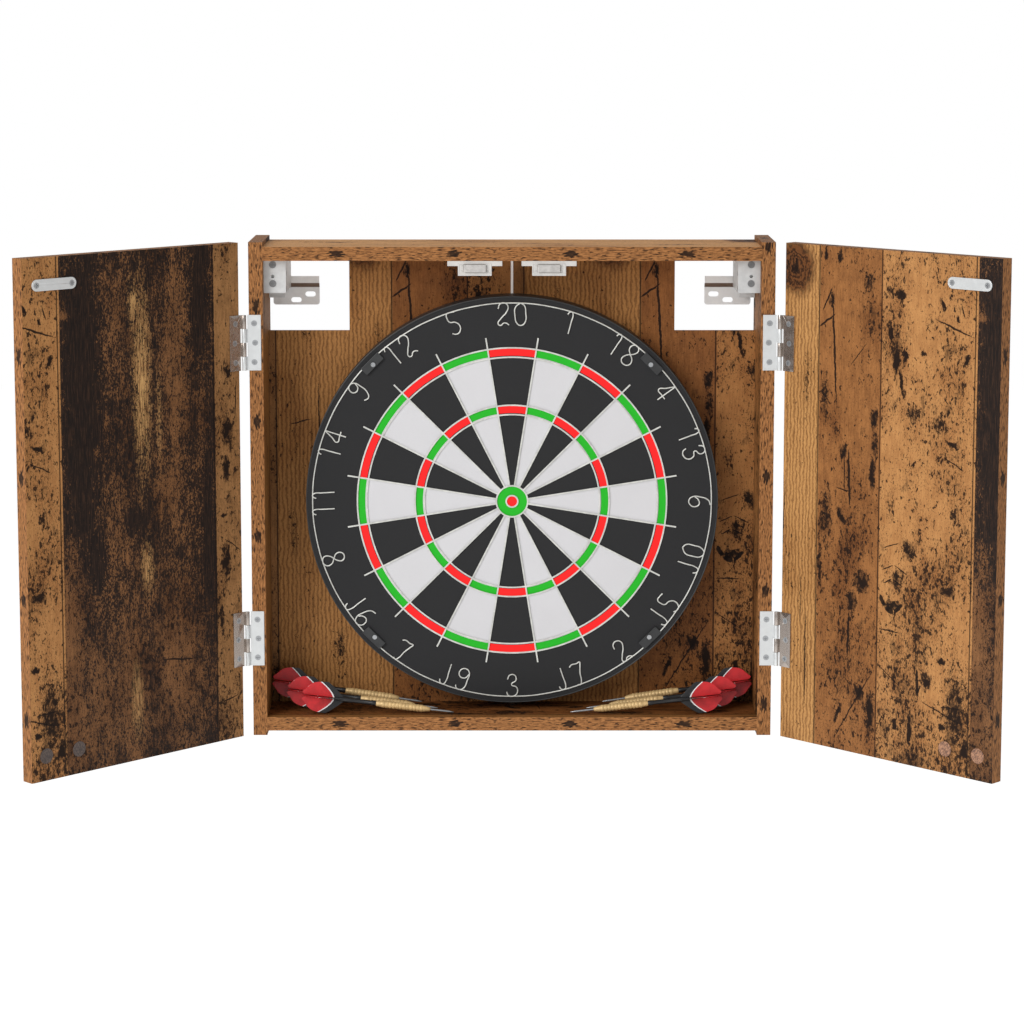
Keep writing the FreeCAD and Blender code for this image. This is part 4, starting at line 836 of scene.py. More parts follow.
@dataclass(frozen=True)
class FoilFinish:
    """Round decor sticker whose grain runs askew."""

    name: str
    light: Colour
    dark: Colour
    turn: float

    def make(self) -> Material:
        """Make the material.

        Returns:
            The material.
        """
        surface = Surface(self.name)
        turn = {"Vector": surface.place(), "Rotation": (0.0, self.turn, 0.0)}
        turned = surface.add("ShaderNodeMapping", turn, vector_type="POINT").outputs[0]
        streaks = surface.noise(surface.scaled(turned, 1.0, 1.0, 0.12), 700.0, 4.0, 0.65)
        patch = surface.noise(turned, 240.0, 3.0, 0.6)
        colour = surface.mix(surface.smooth(streaks, 0.35, 0.65), self.dark, self.light)
        colour = surface.mix(surface.smooth(patch, 0.58, 0.66, 0.6), colour, PIT)
        surface.bump(streaks, 0.00004)
        return surface.finish(Base_Color=colour, Roughness=surface.spread(streaks, 0.3, 0.7, 0.4, 0.55))


@dataclass(frozen=True)
class FlightFinish:
    """Printed film of a flight: red tail, a white stripe, and a black front.

    The stripe runs in a curve from the outer crest to the axis; lengths are along the dart
    from its tip."""

    name: str = "flight_film"
    stripe_axis: float = 0.132
    stripe_crest: float = 0.148
    crest_radius: float = 0.017
    stripe_wide: float = 0.0016
    stripe_bend: float = 1.6
    red: Colour = srgb(206, 34, 40)
    deep_red: Colour = srgb(172, 24, 30)
    white: Colour = srgb(236, 236, 236)
    black: Colour = srgb(26, 26, 28)

    def make(self) -> Material:
        """Make the material.

        Returns:
            The material.
        """
        surface = Surface(self.name)
        place = surface.place()
        x, y, z = surface.parts(place)
        share = surface.math("DIVIDE", surface.radius(y, z), self.crest_radius)
        curve = surface.math("POWER", share, self.stripe_bend)
        edge = surface.plus(surface.times(curve, self.stripe_crest - self.stripe_axis), self.stripe_axis)
        behind = surface.minus(surface.times(x, -1.0), edge)
        weave = surface.noise(place, 900.0, 2.0, 0.5)
        shine = surface.noise(place, 70.0, 3.0, 0.5)
        red = surface.mix(surface.smooth(shine, 0.35, 0.7), self.red, self.deep_red)
        colour = surface.mix(surface.math("GREATER_THAN", behind, 0.0), self.black, self.white)
        colour = surface.mix(surface.math("GREATER_THAN", behind, self.stripe_wide), colour, red)
        surface.bump(weave, 0.00002)
        return surface.finish(Base_Color=colour, Roughness=surface.spread(weave, 0.3, 0.7, 0.3, 0.42))


class Finishes:
    """Every finish of the cabinet but the boards', made once."""

    def __init__(self) -> None:
        """Make the materials."""
        even = (1.0, 1.0, 1.0)
        self.zinc = MetalFinish("zinc_plate", srgb(214, 216, 216), metallic=0.45, mottle=0.03).make()
        # Painted reflection: the door leaves' zinc is darkened and warmed from the frame leaves' colour for
        # the wood reflected in them, on top of their real metallic reflection.
        self.leaf = MetalFinish("leaf_plate", srgb(176, 166, 158), metallic=0.9, rough=0.24,
                                mottle=0.05).make()
        self.magnet = MetalFinish("magnet_plate", srgb(206, 202, 198), metallic=0.5, rough=0.36).make()
        self.screw = MetalFinish("screw_steel", srgb(172, 174, 176), metallic=0.7, rough=0.3, draw=even,
                                 mottle=0.05).make()
        # A darker grey copy of the screw steel, used for the hanger's screws.
        self.dark_screw = MetalFinish("burnished_screw", srgb(134, 134, 134), metallic=0.6, rough=0.4,
                                      draw=even, mottle=0.08).make()
        self.hanger = MetalFinish("hanger_zinc", srgb(206, 206, 205), metallic=0.5, rough=0.42,
                                  mottle=0.06).make()
        # The wall plate carries a brown band of painted shade at its fold.
        self.plate = MetalFinish("wall_plate_zinc", srgb(232, 232, 231), metallic=0.3, rough=0.4, mottle=0.03,
                                 bend=(0.2295, 0.2345)).make()
        self.wire = MetalFinish("galvanised_wire", srgb(214, 214, 208), metallic=0.35, rough=0.42).make()
        self.band = MetalFinish("black_lacquer", srgb(42, 43, 44), metallic=0.0, rough=0.46).make()
        self.brass = MetalFinish("turned_brass", srgb(222, 188, 132), metallic=0.25, rough=0.46,
                                 draw=(0.05, 1.0, 1.0)).make()
        self.catch = PlasticFinish("catch_plastic", srgb(200, 197, 193)).make()
        # Painted light: the recessed joining strip glows so that it reads white in the shade behind the back
        # panels' faces.
        self.strip = PlasticFinish("strip_plastic", srgb(250, 249, 246), glow=0.12).make()
        self.stem = PlasticFinish("stem_plastic", srgb(28, 28, 30), rough=0.38).make()
        # Painted shade: near-black for the catches' screw holes, drawn as small squares on the face.
        self.socket = PlasticFinish("screw_socket", srgb(40, 38, 36), rough=0.6).make()
        self.sisal = SisalFinish().make()
        self.flight = FlightFinish().make()
        self.caps = {
            Side.LEFT: FoilFinish("cap_foil_left", srgb(92, 76, 68), srgb(52, 42, 38), 0.9).make(),
            Side.RIGHT: FoilFinish("cap_foil_right", srgb(176, 128, 96), srgb(96, 66, 52), -0.7).make(),
        }


def both(stem: str) -> list[str]:
    """The left and right nodes of a pair."""
    return [f"{stem}_{side.word}" for side in Side]


def put(name: str, data: Any) -> bpy.types.Object:
    """A new object in the scene.

    Args:
        name: Its name.
        data: Its mesh, curve, light or camera.

    Returns:
        The object.
    """
    made = bpy.data.objects.new(name, data)
    bpy.context.scene.collection.objects.link(made)
    return made


def middle_of(name: str) -> Vector:
    """Middle of a CAD node's box."""
    low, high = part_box(name)
    return (Vector(low) + Vector(high)) / 2


def dress(names: Iterable[str], material: Material) -> None:
    """Give CAD nodes their finish.

    Args:
        names: The nodes.
        material: The finish.
    """
    for name in names:
        node = NODES[name]
        node.data.materials.clear()
        node.data.materials.append(material)
        LOG.info("dressed %s in %s", name, material.name)


def soften(names: Iterable[str], width: float) -> None:
    """Round the sharp edges of CAD nodes a little.

    Args:
        names: The nodes.
        width: Width of the rounding.
    """
    for name in names:
        node = NODES[name]
        weld = node.modifiers.new("weld", "WELD")
        weld.merge_threshold = 0.00001
        bevel = node.modifiers.new("soft_edges", "BEVEL")
        bevel.width = width
        bevel.segments = 2
        bevel.limit_method = "ANGLE"
        bevel.angle_limit = math.radians(50)
        bevel.use_clamp_overlap = True
        bevel.harden_normals = False


def piece_from(name: str, build: Mesh, materials: Sequence[Material],
               smooth: bool = True) -> bpy.types.Object:
    """An object from a finished bmesh.

    Args:
        name: The piece's name.
        build: The mesh, which is freed.
        materials: Its finishes by slot.
        smooth: Smooth shading across gentle edges.

    Returns:
        The new object, linked to the scene.
    """
    mesh = bpy.data.meshes.new(name)
    bmesh.ops.recalc_face_normals(build, faces=build.faces)
    build.to_mesh(mesh)
    build.free()
    for material in materials:
        mesh.materials.append(material)
    for polygon in mesh.polygons:
        polygon.use_smooth = smooth
    if smooth:
        mesh.set_sharp_from_angle(angle=math.radians(35))
    LOG.info("built %s", name)
    return put(name, mesh)


def add_block(build: Mesh, low: Vector, high: Vector, bevel: float, material: int = 0) -> None:
    """Add a block with rounded edges.

    Args:
        build: The mesh.
        low: Its lowest corner.
        high: Its highest corner.
        bevel: Width of the rounding.
        material: Its material slot.
    """
    made = bmesh.ops.create_cube(build, size=1.0)
    size = high - low
    for vertex in made["verts"]:
        vertex.co = Vector(low[i] + (vertex.co[i] + 0.5) * size[i] for i in range(3))
    edges = list({edge for vertex in made["verts"] for edge in vertex.link_edges})
    faces = set(face for vertex in made["verts"] for face in vertex.link_faces)
    if bevel:
        result = bmesh.ops.bevel(build, geom=edges, offset=bevel, segments=2, affect="EDGES", profile=0.5)
        faces |= set(result["faces"])
    for face in faces:
        if face.is_valid:
            face.material_index = material


def add_turning(build: Mesh, outline: Sequence[Pair], segments: int,
                material: int = 0) -> None:
    """Add a solid turned about the X axis.

    Args:
        build: The mesh.
        outline: Places along the axis and radii, from one end to the other.
        segments: Steps round the axis.
        material: Its material slot.
    """
    rings: list[list[bmesh.types.BMVert]] = []
    for x, radius in outline:
        if radius <= 0:
            rings.append([build.verts.new((x, 0.0, 0.0))])
            continue
        turns = [2 * math.pi * step / segments for step in range(segments)]
        rings.append([build.verts.new((x, radius * math.cos(turn), radius * math.sin(turn)))
                      for turn in turns])
    for first, second in zip(rings, rings[1:]):
        for step in range(segments):
            following = (step + 1) % segments
            corners = [first[step % len(first)], first[following % len(first)],
                       second[following % len(second)], second[step % len(second)]]
            distinct = list(dict.fromkeys(corners))
            if len(distinct) >= 3:
                build.faces.new(distinct).material_index = material


# ---- sub-assemblies ------------------------------------------------------------------------------


@dataclass
class Carcass:
    """Side, top, bottom and back panels with the strip between the backs; each panel's print is multiplied by
    its painted shade or painted highlight.
    """

    decor: PlankDecor
    finishes: Finishes
    side_starts: Pair = (0.040, 0.145)
    side_lift: float = 0.030
    # Painted shade: the side panels' print is darkened for the shade inside the cabinet.
    side_tone: Colour = (0.62, 0.56, 0.50)
    back_starts: Pair = (0.184, -0.089)
    back_lift: float = -0.020
    # Painted shade: the back panels' print is darkened for the shade cast inside the cabinet by the top panel
    # and the sides.
    back_tone: Colour = (0.76, 0.70, 0.64)
    top_start: float = 0.030
    # Painted highlight: the top panel's print is brightened for the sheen on its upper face seen at a grazing
    # angle.
    top_tone: Colour = (1.5, 1.55, 1.75)
    bottom_start: float = 0.140
    # Painted shade: the bottom panel's print is darkened for the shade inside the cabinet.
    bottom_tone: Colour = (0.70, 0.62, 0.54)
    edge_round: float = 0.0004

    def build(self) -> None:
        """Dress every panel."""
        right, back, up = Vector((1, 0, 0)), Vector((0, 1, 0)), Vector((0, 0, 1))
        for side, side_start, back_start in zip(Side, self.side_starts, self.back_starts):
            self.dress_board(f"side_panel_{side.word}", back * -side.value, up, side_start,
                             self.side_lift * side.value, self.side_tone)
            self.dress_board(f"back_panel_{side.word}", right, up, back_start, self.back_lift, self.back_tone)
        self.dress_board("top_panel", back, right, self.top_start, 0.0, self.top_tone)
        self.dress_board("bottom_panel", back, right, self.bottom_start, 0.0, self.bottom_tone)
        dress(["back_joining_strip"], self.finishes.strip)
        dress(["carcass_screws"], self.finishes.screw)
        soften(both("side_panel") + ["top_panel", "bottom_panel"], self.edge_round)

    def dress_board(self, node: str, across: Vector, along: Vector, across_start: float,
                    along_start: float, tone: Colour) -> None:
        """Give one panel the decor.

        Args:
            node: The panel's node.
            across: Direction across the planks.
            along: Direction along them.
            across_start: The decor's place across, at the origin.
            along_start: The decor's place along, at the origin.
            tone: The painted shade or painted highlight that the print's colour is multiplied by.
        """
        finish = BoardFinish(f"{node}_decor", across, along, across_start, along_start, middle_of(node), tone)
        dress([node], finish.make(self.decor))


@dataclass
class Door:
    """One door with its hinge leaves, strike plate, screws and cover caps."""

    side: Side
    decor: PlankDecor
    finishes: Finishes
    opened: float = math.radians(135)
    left_start: float = 0.499
    right_start: float = 0.0
    edge_round: float = 0.0004
    plate_round: float = 0.0003

    def build(self) -> None:
        """Dress the door and what is fastened to it."""
        word, sign = self.side.word, self.side.value
        axis = Vector(JOINTS[f"{word}_door_hinge"]["pos_m"])
        across = Vector((-sign * math.cos(self.opened), -math.sin(self.opened), 0.0)) * sign
        start = self.left_start if self.side is Side.LEFT else self.right_start
        finish = BoardFinish(f"door_{word}_decor", across, Vector((0, 0, 1)), start - axis.dot(across), 0.0,
                             middle_of(f"door_{word}"))
        dress([f"door_{word}"], finish.make(self.decor))
        leaves = [f"door_leaf_{word}_{level}" for level in ("upper", "lower")]
        dress(leaves, self.finishes.leaf)
        dress([f"strike_plate_{word}"], self.finishes.zinc)
        dress([f"door_screws_{word}"], self.finishes.screw)
        dress([f"cover_caps_{word}"], self.finishes.caps[self.side])
        soften([f"door_{word}"], self.edge_round)
        soften(leaves + [f"strike_plate_{word}"], self.plate_round)


@dataclass
class FrameHardware:
    """Frame leaves, pins, magnetic catches and wall hangers."""

    finishes: Finishes
    leaf_round: float = 0.0003
    catch_round: float = 0.0005
    hanger_round: float = 0.0006
    dot_radius: float = 0.0009
    dot_reach: float = 0.0138
    dot_rise: float = 0.003
    dot_proud: float = 0.00005
    dot_sunk: float = 0.0006
    dot_round: float = 0.0003
    rim_reach: float = 0.0172
    rim_top: float = 0.0052
    rim_foot: float = -0.0050
    rim_half: float = 0.0005
    rim_proud: float = 0.0004
    rim_sunk: float = 0.0005
    rim_round: float = 0.00015

    def build(self) -> None:
        """Dress the hardware and add the catches' face detail."""
        finishes = self.finishes
        leaves = [f"frame_leaf_{side.word}_{level}" for side in Side for level in ("upper", "lower")]
        dress(leaves + ["hinge_pins", "board_bracket"] + both("hanger_hook"), finishes.zinc)
        dress(["frame_hinge_screws", "fixing_screws", "clip_screws", "board_centre_screw"], finishes.screw)
        dress(["hanger_screws", "hanger_depth_screws"] + both("hanger_height_screw"), finishes.dark_screw)
        dress(both("catch_housing"), finishes.catch)
        dress(["catch_magnets"], finishes.magnet)
        dress(both("hanger_body"), finishes.hanger)
        dress(both("wall_plate"), finishes.plate)
        soften(leaves, self.leaf_round)
        soften(both("catch_housing") + ["catch_magnets"], self.catch_round)
        soften(both("hanger_body"), self.hanger_round)
        for side in Side:
            self.catch_face(side)

    def catch_face(self, side: Side) -> None:
        """Raised rim and four small dark squares on the front of one catch, painted shade that stands for its
        screw holes.

        Args:
            side: The catch's side.
        """
        low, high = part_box(f"catch_housing_{side.word}")
        magnet_low, magnet_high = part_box("catch_magnets")
        middle = Vector(((low.x + high.x) / 2, low.y, (magnet_low.z + magnet_high.z) / 2))
        build = bmesh.new()
        bars = [(0.0, z, self.rim_reach, self.rim_half) for z in (self.rim_top, self.rim_foot)]
        bars += [(x, (self.rim_top + self.rim_foot) / 2, self.rim_half, (self.rim_top - self.rim_foot) / 2)
                 for x in (-self.rim_reach, self.rim_reach)]
        for x, z, half_wide, half_tall in bars:
            add_block(build, middle + Vector((x - half_wide, -self.rim_proud, z - half_tall)),
                      middle + Vector((x + half_wide, self.rim_sunk, z + half_tall)), self.rim_round)
        # Dark squares of painted shade where the screw holes are.
        radius = self.dot_radius
        for x in (-self.dot_reach, self.dot_reach):
            for z in (-self.dot_rise, self.dot_rise):
                add_block(build, middle + Vector((x - radius, -self.dot_proud, z - radius)),
                          middle + Vector((x + radius, self.dot_sunk, z + radius)), self.dot_round, 1)
        piece = piece_from(f"catch_face_{side.word}", build, [self.finishes.catch, self.finishes.socket])
        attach(piece, "cabinet")


NUMBERS = (20, 1, 18, 4, 13, 6, 10, 15, 2, 17, 3, 19, 7, 16, 8, 11, 14, 9, 12, 5)
FIRST_BASE_OUT, LAST_BASE_OUT = 6, 14
DIGIT_WIDE = 0.52
TOP_HOOK: dict[str, Sequence[Path]] = {
    "1": [[(0.02, 0.84), (0.08, 0.97), (0.18, 1.0), (0.25, 0.9), (0.27, 0.6), (0.30, 0.02)]],
    "7": [[(0.0, 0.90), (0.12, 0.98), (0.36, 0.97), (0.52, 0.99), (0.5, 0.9), (0.34, 0.5), (0.24, 0.02)]],
    "9": [[(0.46, 0.86), (0.34, 0.62), (0.12, 0.62), (0.05, 0.84), (0.22, 1.0), (0.44, 0.9), (0.50, 0.6),
           (0.46, 0.2), (0.28, 0.0), (0.08, 0.08)]],
}
BASE_HOOK: dict[str, Sequence[Path]] = {
    "1": [[(0.34, 1.0), (0.34, 0.6), (0.34, 0.18), (0.26, 0.02), (0.12, 0.04), (0.04, 0.2)]],
    "7": [[(0.0, 0.90), (0.12, 0.98), (0.36, 0.97), (0.52, 0.99), (0.5, 0.9), (0.38, 0.5), (0.33, 0.14),
           (0.24, 0.0), (0.12, 0.03)]],
    "9": [[(0.5, 0.8), (0.36, 0.58), (0.12, 0.6), (0.06, 0.84), (0.26, 1.0), (0.48, 0.88), (0.5, 0.5),
           (0.46, 0.14), (0.3, 0.0), (0.12, 0.04), (0.06, 0.16)]],
}
DIGITS: dict[str, Sequence[Path]] = {
    "0": [[(0.26, 1.0), (0.04, 0.8), (0.02, 0.45), (0.12, 0.08), (0.3, 0.0), (0.48, 0.16), (0.5, 0.55),
           (0.44, 0.88), (0.26, 1.0)]],
    "2": [[(0.02, 0.74), (0.1, 0.95), (0.3, 1.0), (0.46, 0.84), (0.38, 0.58), (0.14, 0.3), (0.02, 0.06),
           (0.14, 0.0), (0.26, 0.1), (0.38, 0.1), (0.5, 0.02)]],
    "3": [[(0.06, 0.78), (0.16, 0.97), (0.38, 0.97), (0.44, 0.74), (0.24, 0.54), (0.46, 0.42), (0.5, 0.16),
           (0.3, 0.0), (0.1, 0.04), (0.02, 0.2)]],
    "4": [[(0.36, 1.0), (0.36, 0.6), (0.36, 0.02)],
          [(0.34, 0.98), (0.16, 0.62), (0.02, 0.32), (0.28, 0.3), (0.52, 0.3)]],
    "5": [[(0.46, 0.98), (0.3, 1.0), (0.1, 0.98), (0.06, 0.78), (0.12, 0.6), (0.36, 0.52), (0.5, 0.32),
           (0.42, 0.06), (0.24, 0.0), (0.08, 0.08)]],
    "6": [[(0.42, 0.96), (0.2, 0.86), (0.06, 0.5), (0.04, 0.2), (0.2, 0.0), (0.42, 0.06), (0.5, 0.28),
           (0.38, 0.46), (0.16, 0.4), (0.06, 0.26)]],
    "8": [[(0.26, 0.52), (0.08, 0.7), (0.12, 0.94), (0.3, 1.0), (0.46, 0.86), (0.4, 0.66), (0.1, 0.36),
           (0.06, 0.12), (0.26, 0.0), (0.48, 0.12), (0.46, 0.36), (0.26, 0.52)]],
}


@dataclass
class NumberRing:
    """Wire ring and its twenty wire numbers, as one round-wire piece."""

    finishes: Finishes
    radius: float = 0.2182
    wire: float = 0.00075
    tall: float = 0.0245
    gap: float = 0.0055
    ring_points: int = 32

    def build(self) -> None:
        """Draw the ring and the numbers, and stand them on the board's face."""
        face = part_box("board_core")[0].y
        data = bpy.data.curves.new("number_ring_wire", "CURVE")
        data.dimensions = "3D"
        data.bevel_depth = self.wire
        data.bevel_resolution = 2
        data.resolution_u = 6
        level = face - self.wire
        turns = [2 * math.pi / self.ring_points * point for point in range(self.ring_points)]
        ring = [(self.radius * math.sin(turn), self.radius * math.cos(turn)) for turn in turns]
        self.add_wire(data, ring, level, closed=True)
        for index, number in enumerate(NUMBERS):
            base_out = FIRST_BASE_OUT <= index <= LAST_BASE_OUT
            for path in self.number_paths(str(number), 2 * math.pi * index / len(NUMBERS), base_out):
                self.add_wire(data, path, level)
        data.materials.append(self.finishes.wire)
        curve = put("number_ring_curve", data)
        bpy.context.view_layer.update()
        mesh = bpy.data.meshes.new_from_object(curve.evaluated_get(bpy.context.evaluated_depsgraph_get()))
        bpy.data.objects.remove(curve)
        piece = put("number_ring_wire", mesh)
        for polygon in mesh.polygons:
            polygon.use_smooth = True
        LOG.info("built %s", piece.name)
        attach(piece, "cabinet")
        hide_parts("number_ring")

    def number_paths(self, text: str, angle: float, base_out: bool) -> list[list[Pair]]:
        """Wire paths of one number, in the board's plane.

        Args:
            text: The number.
            angle: Its place, clockwise from the top.
            base_out: Its foot stands on the ring, else its top hangs from it.

        Returns:
            Lists of (x, z) points.
        """
        pitch = DIGIT_WIDE * self.tall + self.gap
        start = -(pitch * len(text) - self.gap) / 2
        outer = self.radius
        shapes = {**DIGITS, **(BASE_HOOK if base_out else TOP_HOOK)}
        paths = []
        for place, digit in enumerate(text):
            for stroke in shapes[digit]:
                points = []
                for across, up in stroke:
                    x = start + pitch * place + across * self.tall
                    radial = outer - up * self.tall if base_out else outer - self.tall + up * self.tall
                    x = -x if base_out else x
                    points.append((x * math.cos(angle) + radial * math.sin(angle),
                                   -x * math.sin(angle) + radial * math.cos(angle)))
                paths.append(points)
        return paths

    def add_wire(self, data: bpy.types.Curve, points: Path, level: float, closed: bool = False) -> None:
        """Add one smooth stretch of wire.

        Args:
            data: The curve.
            points: The (x, z) points that it passes.
            level: Its place in depth.
            closed: It joins up with its start.
        """
        spline = data.splines.new("BEZIER")
        spline.bezier_points.add(len(points) - 1)
        for point, (x, z) in zip(spline.bezier_points, points):
            point.co = (x, level, z)
            point.handle_left_type = point.handle_right_type = "AUTO"
        spline.use_cyclic_u = closed


@dataclass
class DartBoard:
    """Sisal board with its rim band, scoring wires, number ring and clips."""

    finishes: Finishes
    band_round: float = 0.0006
    clip_round: float = 0.0004

    def build(self) -> None:
        """Dress the board and build its number ring."""
        dress(["board_core"], self.finishes.sisal)
        dress(["board_rim_band", "ring_clips"], self.finishes.band)
        dress(["board_spider"], self.finishes.wire)
        soften(["board_rim_band"], self.band_round)
        soften(["ring_clips"], self.clip_round)
        NumberRing(self.finishes).build()


GRIP_RING = ((0.1, 0.0004), (0.22, 0.00008), (0.34, 0.0), (0.74, 0.0), (0.86, 0.00008), (0.97, 0.0004))


@dataclass
class Dart:
    """One loose dart: steel point, ringed barrel, stem and four thin vanes."""

    side: Side
    rank: str
    finishes: Finishes
    point_long: float = 0.026
    point_radius: float = 0.0011
    barrel_long: float = 0.060
    barrel_radius: float = 0.004
    grip_rings: int = 12
    grip_pitch: float = 0.0038
    stem_long: float = 0.046
    flight_start: float = 0.120
    flight_long: float = 0.046
    flight_radius: float = 0.0171
    vane_thick: float = 0.00022
    vane_foot: float = 0.0012
    vane_crest: float = 0.46
    vane_steps: int = 28
    vane_rows: int = 8
    edge_thin: float = 0.4
    tail_trim: float = 0.97
    tail_start: float = 0.86
    tail_round: float = 0.003

    def build(self) -> None:
        """Build both pieces and lay them where the CAD has them."""
        label = f"dart_{self.side.word}_{self.rank}"
        lie = self.lie(label)
        metal = piece_from(f"{label}_metal", self.metal_mesh(), [self.finishes.brass, self.finishes.screw])
        tail = piece_from(f"{label}_tail", self.tail_mesh(), [self.finishes.stem, self.finishes.flight])
        for piece, node, slot in ((metal, f"{label}_barrel", "dart_brass"),
                                  (tail, f"{label}_flight", "flight_film")):
            piece.matrix_world = lie
            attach(piece, label)
            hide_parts(node)

    def lie(self, label: str) -> Matrix:
        """Where the dart lies: X runs from the tail to the tip, with a vane along Z.

        Args:
            label: The dart's name.

        Returns:
            The placement.
        """
        barrel = [vertex.co for vertex in NODES[f"{label}_barrel"].data.vertices]
        tip = min(barrel, key=lambda point: self.side.value * point.x)
        reach = self.point_long + self.barrel_long - 0.0002
        rear = [point for point in barrel if (point - tip).length > reach]
        tail = sum(rear, Vector()) / len(rear)
        forward = (tip - tail).normalized()
        vanes = [vertex.co for vertex in NODES[f"{label}_flight"].data.vertices]

        def beside(point: Vector) -> Vector:
            """The part of a point's offset that is square to the axis."""
            offset = point - tip
            return offset - forward * offset.dot(forward)

        crest = max((beside(point) for point in vanes),
                    key=lambda offset: (round(offset.length, 4), offset.z))
        up = crest.normalized()
        turn = Matrix((forward, up.cross(forward), up)).transposed()
        return Matrix.Translation(tip) @ turn.to_4x4()

    def metal_mesh(self) -> Mesh:
        """Steel point and turned barrel, the tip at the origin.

        Returns:
            The mesh.
        """
        build = bmesh.new()
        foot = -self.point_long - 0.001
        add_turning(build, [(0.0, 0.0), (-0.0005, 0.0003), (-0.006, self.point_radius),
                            (foot, self.point_radius), (foot, 0.0)], 20, 1)
        start, radius = -self.point_long, self.barrel_radius
        outline = [(start, 0.0), (start, 0.0017), (start - 0.0006, 0.0022), (start - 0.004, 0.0030),
                   (start - 0.008, radius - 0.0004)]
        for ring in range(self.grip_rings):
            left = start - 0.008 - ring * self.grip_pitch
            outline += [(left - share * self.grip_pitch, radius - drop) for share, drop in GRIP_RING]
        end = start - self.barrel_long
        outline += [(end + 0.004, radius - 0.0006), (end + 0.0006, 0.0031), (end, 0.0027), (end, 0.0)]
        add_turning(build, outline, 40, 0)
        return build

    def tail_mesh(self) -> Mesh:
        """Stem and vanes.

        Returns:
            The mesh.
        """
        build = bmesh.new()
        start = -(self.point_long + self.barrel_long)
        outline = ((0.0, 0.0), (0.0, 0.0026), (0.001, 0.0029), (0.005, 0.0029), (0.006, 0.0025),
                   (0.026, 0.0024), (0.028, 0.0027), (0.036, 0.0026), (self.stem_long, 0.0017),
                   (self.stem_long, 0.0))
        add_turning(build, [(start - back, radius) for back, radius in outline], 24, 0)
        for quarter in range(4):
            self.add_vane(build, quarter * math.pi / 2)
        return build

    def vane_edge(self, share: float) -> float:
        """Height of a vane's outer edge from the axis.

        Args:
            share: Place along the vane, 0 at its front.

        Returns:
            The height.
        """
        if share < self.vane_crest:
            rise = share / self.vane_crest
            return self.flight_radius * (0.08 + 0.92 * rise ** 1.25 * (1.55 - 0.55 * rise))
        fall = (share - self.vane_crest) / (1 - self.vane_crest)
        return self.flight_radius * (1.0 - 0.16 * fall ** 1.6 - 0.46 * fall ** 5)

    def add_vane(self, build: Mesh, turn: float) -> None:
        """Add one thin vane.

        Args:
            build: The mesh.
            turn: Its direction about the axis.
        """
        steps, rows = self.vane_steps, self.vane_rows
        outward = Vector((0.0, math.sin(turn), math.cos(turn)))
        sideways = Vector((0.0, math.cos(turn), -math.sin(turn)))

        def place(step: int, row: int) -> Vector:
            """A point of the vane's middle sheet.

            Args:
                step: Place along the vane.
                row: Place across it.

            Returns:
                The point.
            """
            share, up = step / steps, row / rows
            height = self.vane_foot + (self.vane_edge(share) - self.vane_foot) * up
            tail = max(share - self.tail_start, 0.0) / (1 - self.tail_start)
            back = self.flight_start + share * self.flight_long * self.tail_trim
            back += self.tail_round * (1 - (up * 2 - 1) ** 2) * tail
            return Vector((-back, 0.0, 0.0)) + outward * height

        def half_thick(step: int, row: int) -> float:
            """Half the film's thickness, less along its edges."""
            return self.vane_thick * (1.0 if 0 < row < rows and 0 < step < steps else self.edge_thin)

        sheets = [[[build.verts.new(place(step, row) + sideways * face * half_thick(step, row))
                    for row in range(rows + 1)] for step in range(steps + 1)] for face in (-1, 1)]
        for grid, order in zip(sheets, (1, -1)):
            for near, far in zip(grid, grid[1:]):
                for row in range(rows):
                    corners = [near[row], far[row], far[row + 1], near[row + 1]]
                    build.faces.new(corners[::order]).material_index = 1
        along, across = range(steps + 1), range(rows + 1)
        border = [(step, rows) for step in along] + [(steps, row) for row in across[-2::-1]]
        border += [(step, 0) for step in along[-2::-1]] + [(0, row) for row in across[1:]]
        for (step, row), (next_step, next_row) in zip(border, border[1:]):
            build.faces.new((sheets[0][step][row], sheets[0][next_step][next_row],
                             sheets[1][next_step][next_row], sheets[1][step][row])).material_index = 1


# ---- room ----------------------------------------------------------------------------------------


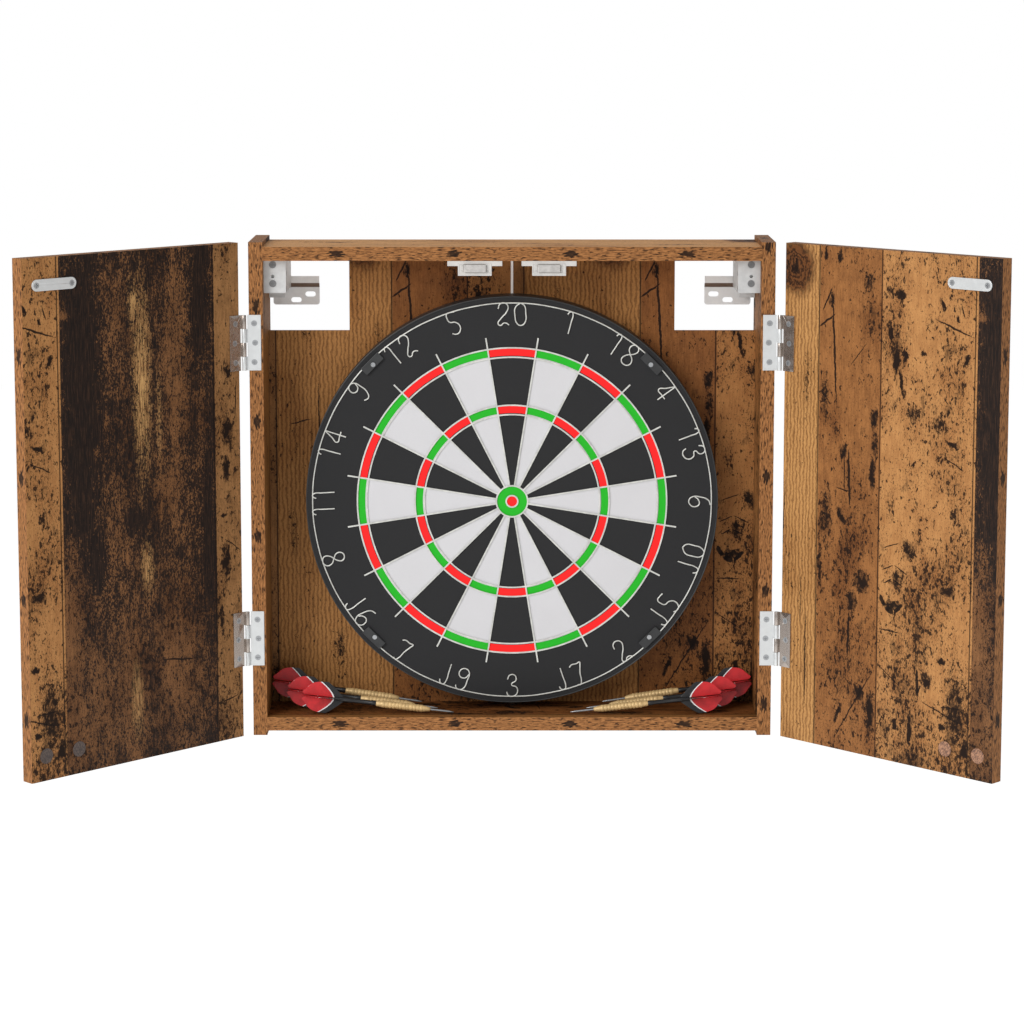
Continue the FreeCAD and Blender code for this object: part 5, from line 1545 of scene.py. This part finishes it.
@dataclass
class Studio:
    """Pale floor, even white surroundings, a soft key light from the left, and the camera."""

    floor_level: float = -1.73
    floor_half: float = 14.0
    surround: float = 0.53
    key_place: tuple[float, float, float] = (-2.6, -3.2, 1.9)
    key_power: float = 132.0
    key_size: float = 2.2
    camera_place: tuple[float, float, float] = (0.0, -3.2564, 0.5458)
    camera_pitch: float = math.radians(7.5)
    lens: float = 103.95
    shift_up: float = -0.1215

    def build(self) -> None:
        """Set up everything round the cabinet."""
        self.floor()
        self.surroundings()
        self.key_light()
        self.camera()
        bpy.context.scene.view_settings.view_transform = "Standard"

    def floor(self) -> None:
        """A wide plain floor under the wall's foot."""
        build = bmesh.new()
        half = self.floor_half
        corners = [build.verts.new((x * half, y * half, self.floor_level))
                   for x, y in ((-1, -1), (1, -1), (1, 1), (-1, 1))]
        build.faces.new(corners)
        surface = Surface("pale_floor")
        cloud = surface.noise(surface.place(), 1.5, 2.0, 0.4)
        colour = surface.mix(cloud, srgb(246, 246, 246), srgb(250, 250, 250))
        piece_from("floor", build, [surface.finish(Base_Color=colour, Roughness=0.9,
                                                           Emission_Color=srgb(255, 255, 255),
                                                           Emission_Strength=0.5)], smooth=False)

    def surroundings(self) -> None:
        """White to look at, and a softer white to light with."""
        world = bpy.data.worlds.new("surroundings")
        world.use_nodes = True
        bpy.context.scene.world = world
        sketch = Sketch(world.node_tree)
        background = world.node_tree.nodes["Background"]
        background.inputs["Color"].default_value = (1.0, 1.0, 1.0, 1.0)
        path = sketch.add("ShaderNodeLightPath")
        strength = sketch.spread(path.outputs["Is Camera Ray"], 0.0, 1.0, self.surround, 1.0)
        sketch.feed(background.inputs["Strength"], strength)

    def key_light(self) -> None:
        """A square soft light that faces the cabinet."""
        data = bpy.data.lights.new("key_light", "AREA")
        data.energy = self.key_power
        data.size = self.key_size
        light = put("key_light", data)
        light.location = self.key_place
        light.rotation_euler = (-Vector(self.key_place)).to_track_quat("-Z", "Y").to_euler()

    def camera(self) -> None:
        """A long lens in front of the cabinet, a little above it and tilted down."""
        data = bpy.data.cameras.new("camera")
        data.lens = self.lens
        data.shift_y = self.shift_up
        camera = put("camera", data)
        camera.location = self.camera_place
        camera.rotation_euler = (math.pi / 2 - self.camera_pitch, 0.0, 0.0)
        bpy.context.scene.camera = camera


def main() -> None:
    """Build the cabinet, its darts and the room."""
    logging.basicConfig(level=logging.INFO, format="%(name)s: %(message)s")
    Studio().build()
    finishes = Finishes()
    decor = PlankDecor()
    Carcass(decor, finishes).build()
    for side in Side:
        Door(side, decor, finishes).build()
    FrameHardware(finishes).build()
    DartBoard(finishes).build()
    for side in Side:
        for rank in ("front", "middle", "rear"):
            Dart(side, rank, finishes).build()


if __name__ == "__main__":
    main()
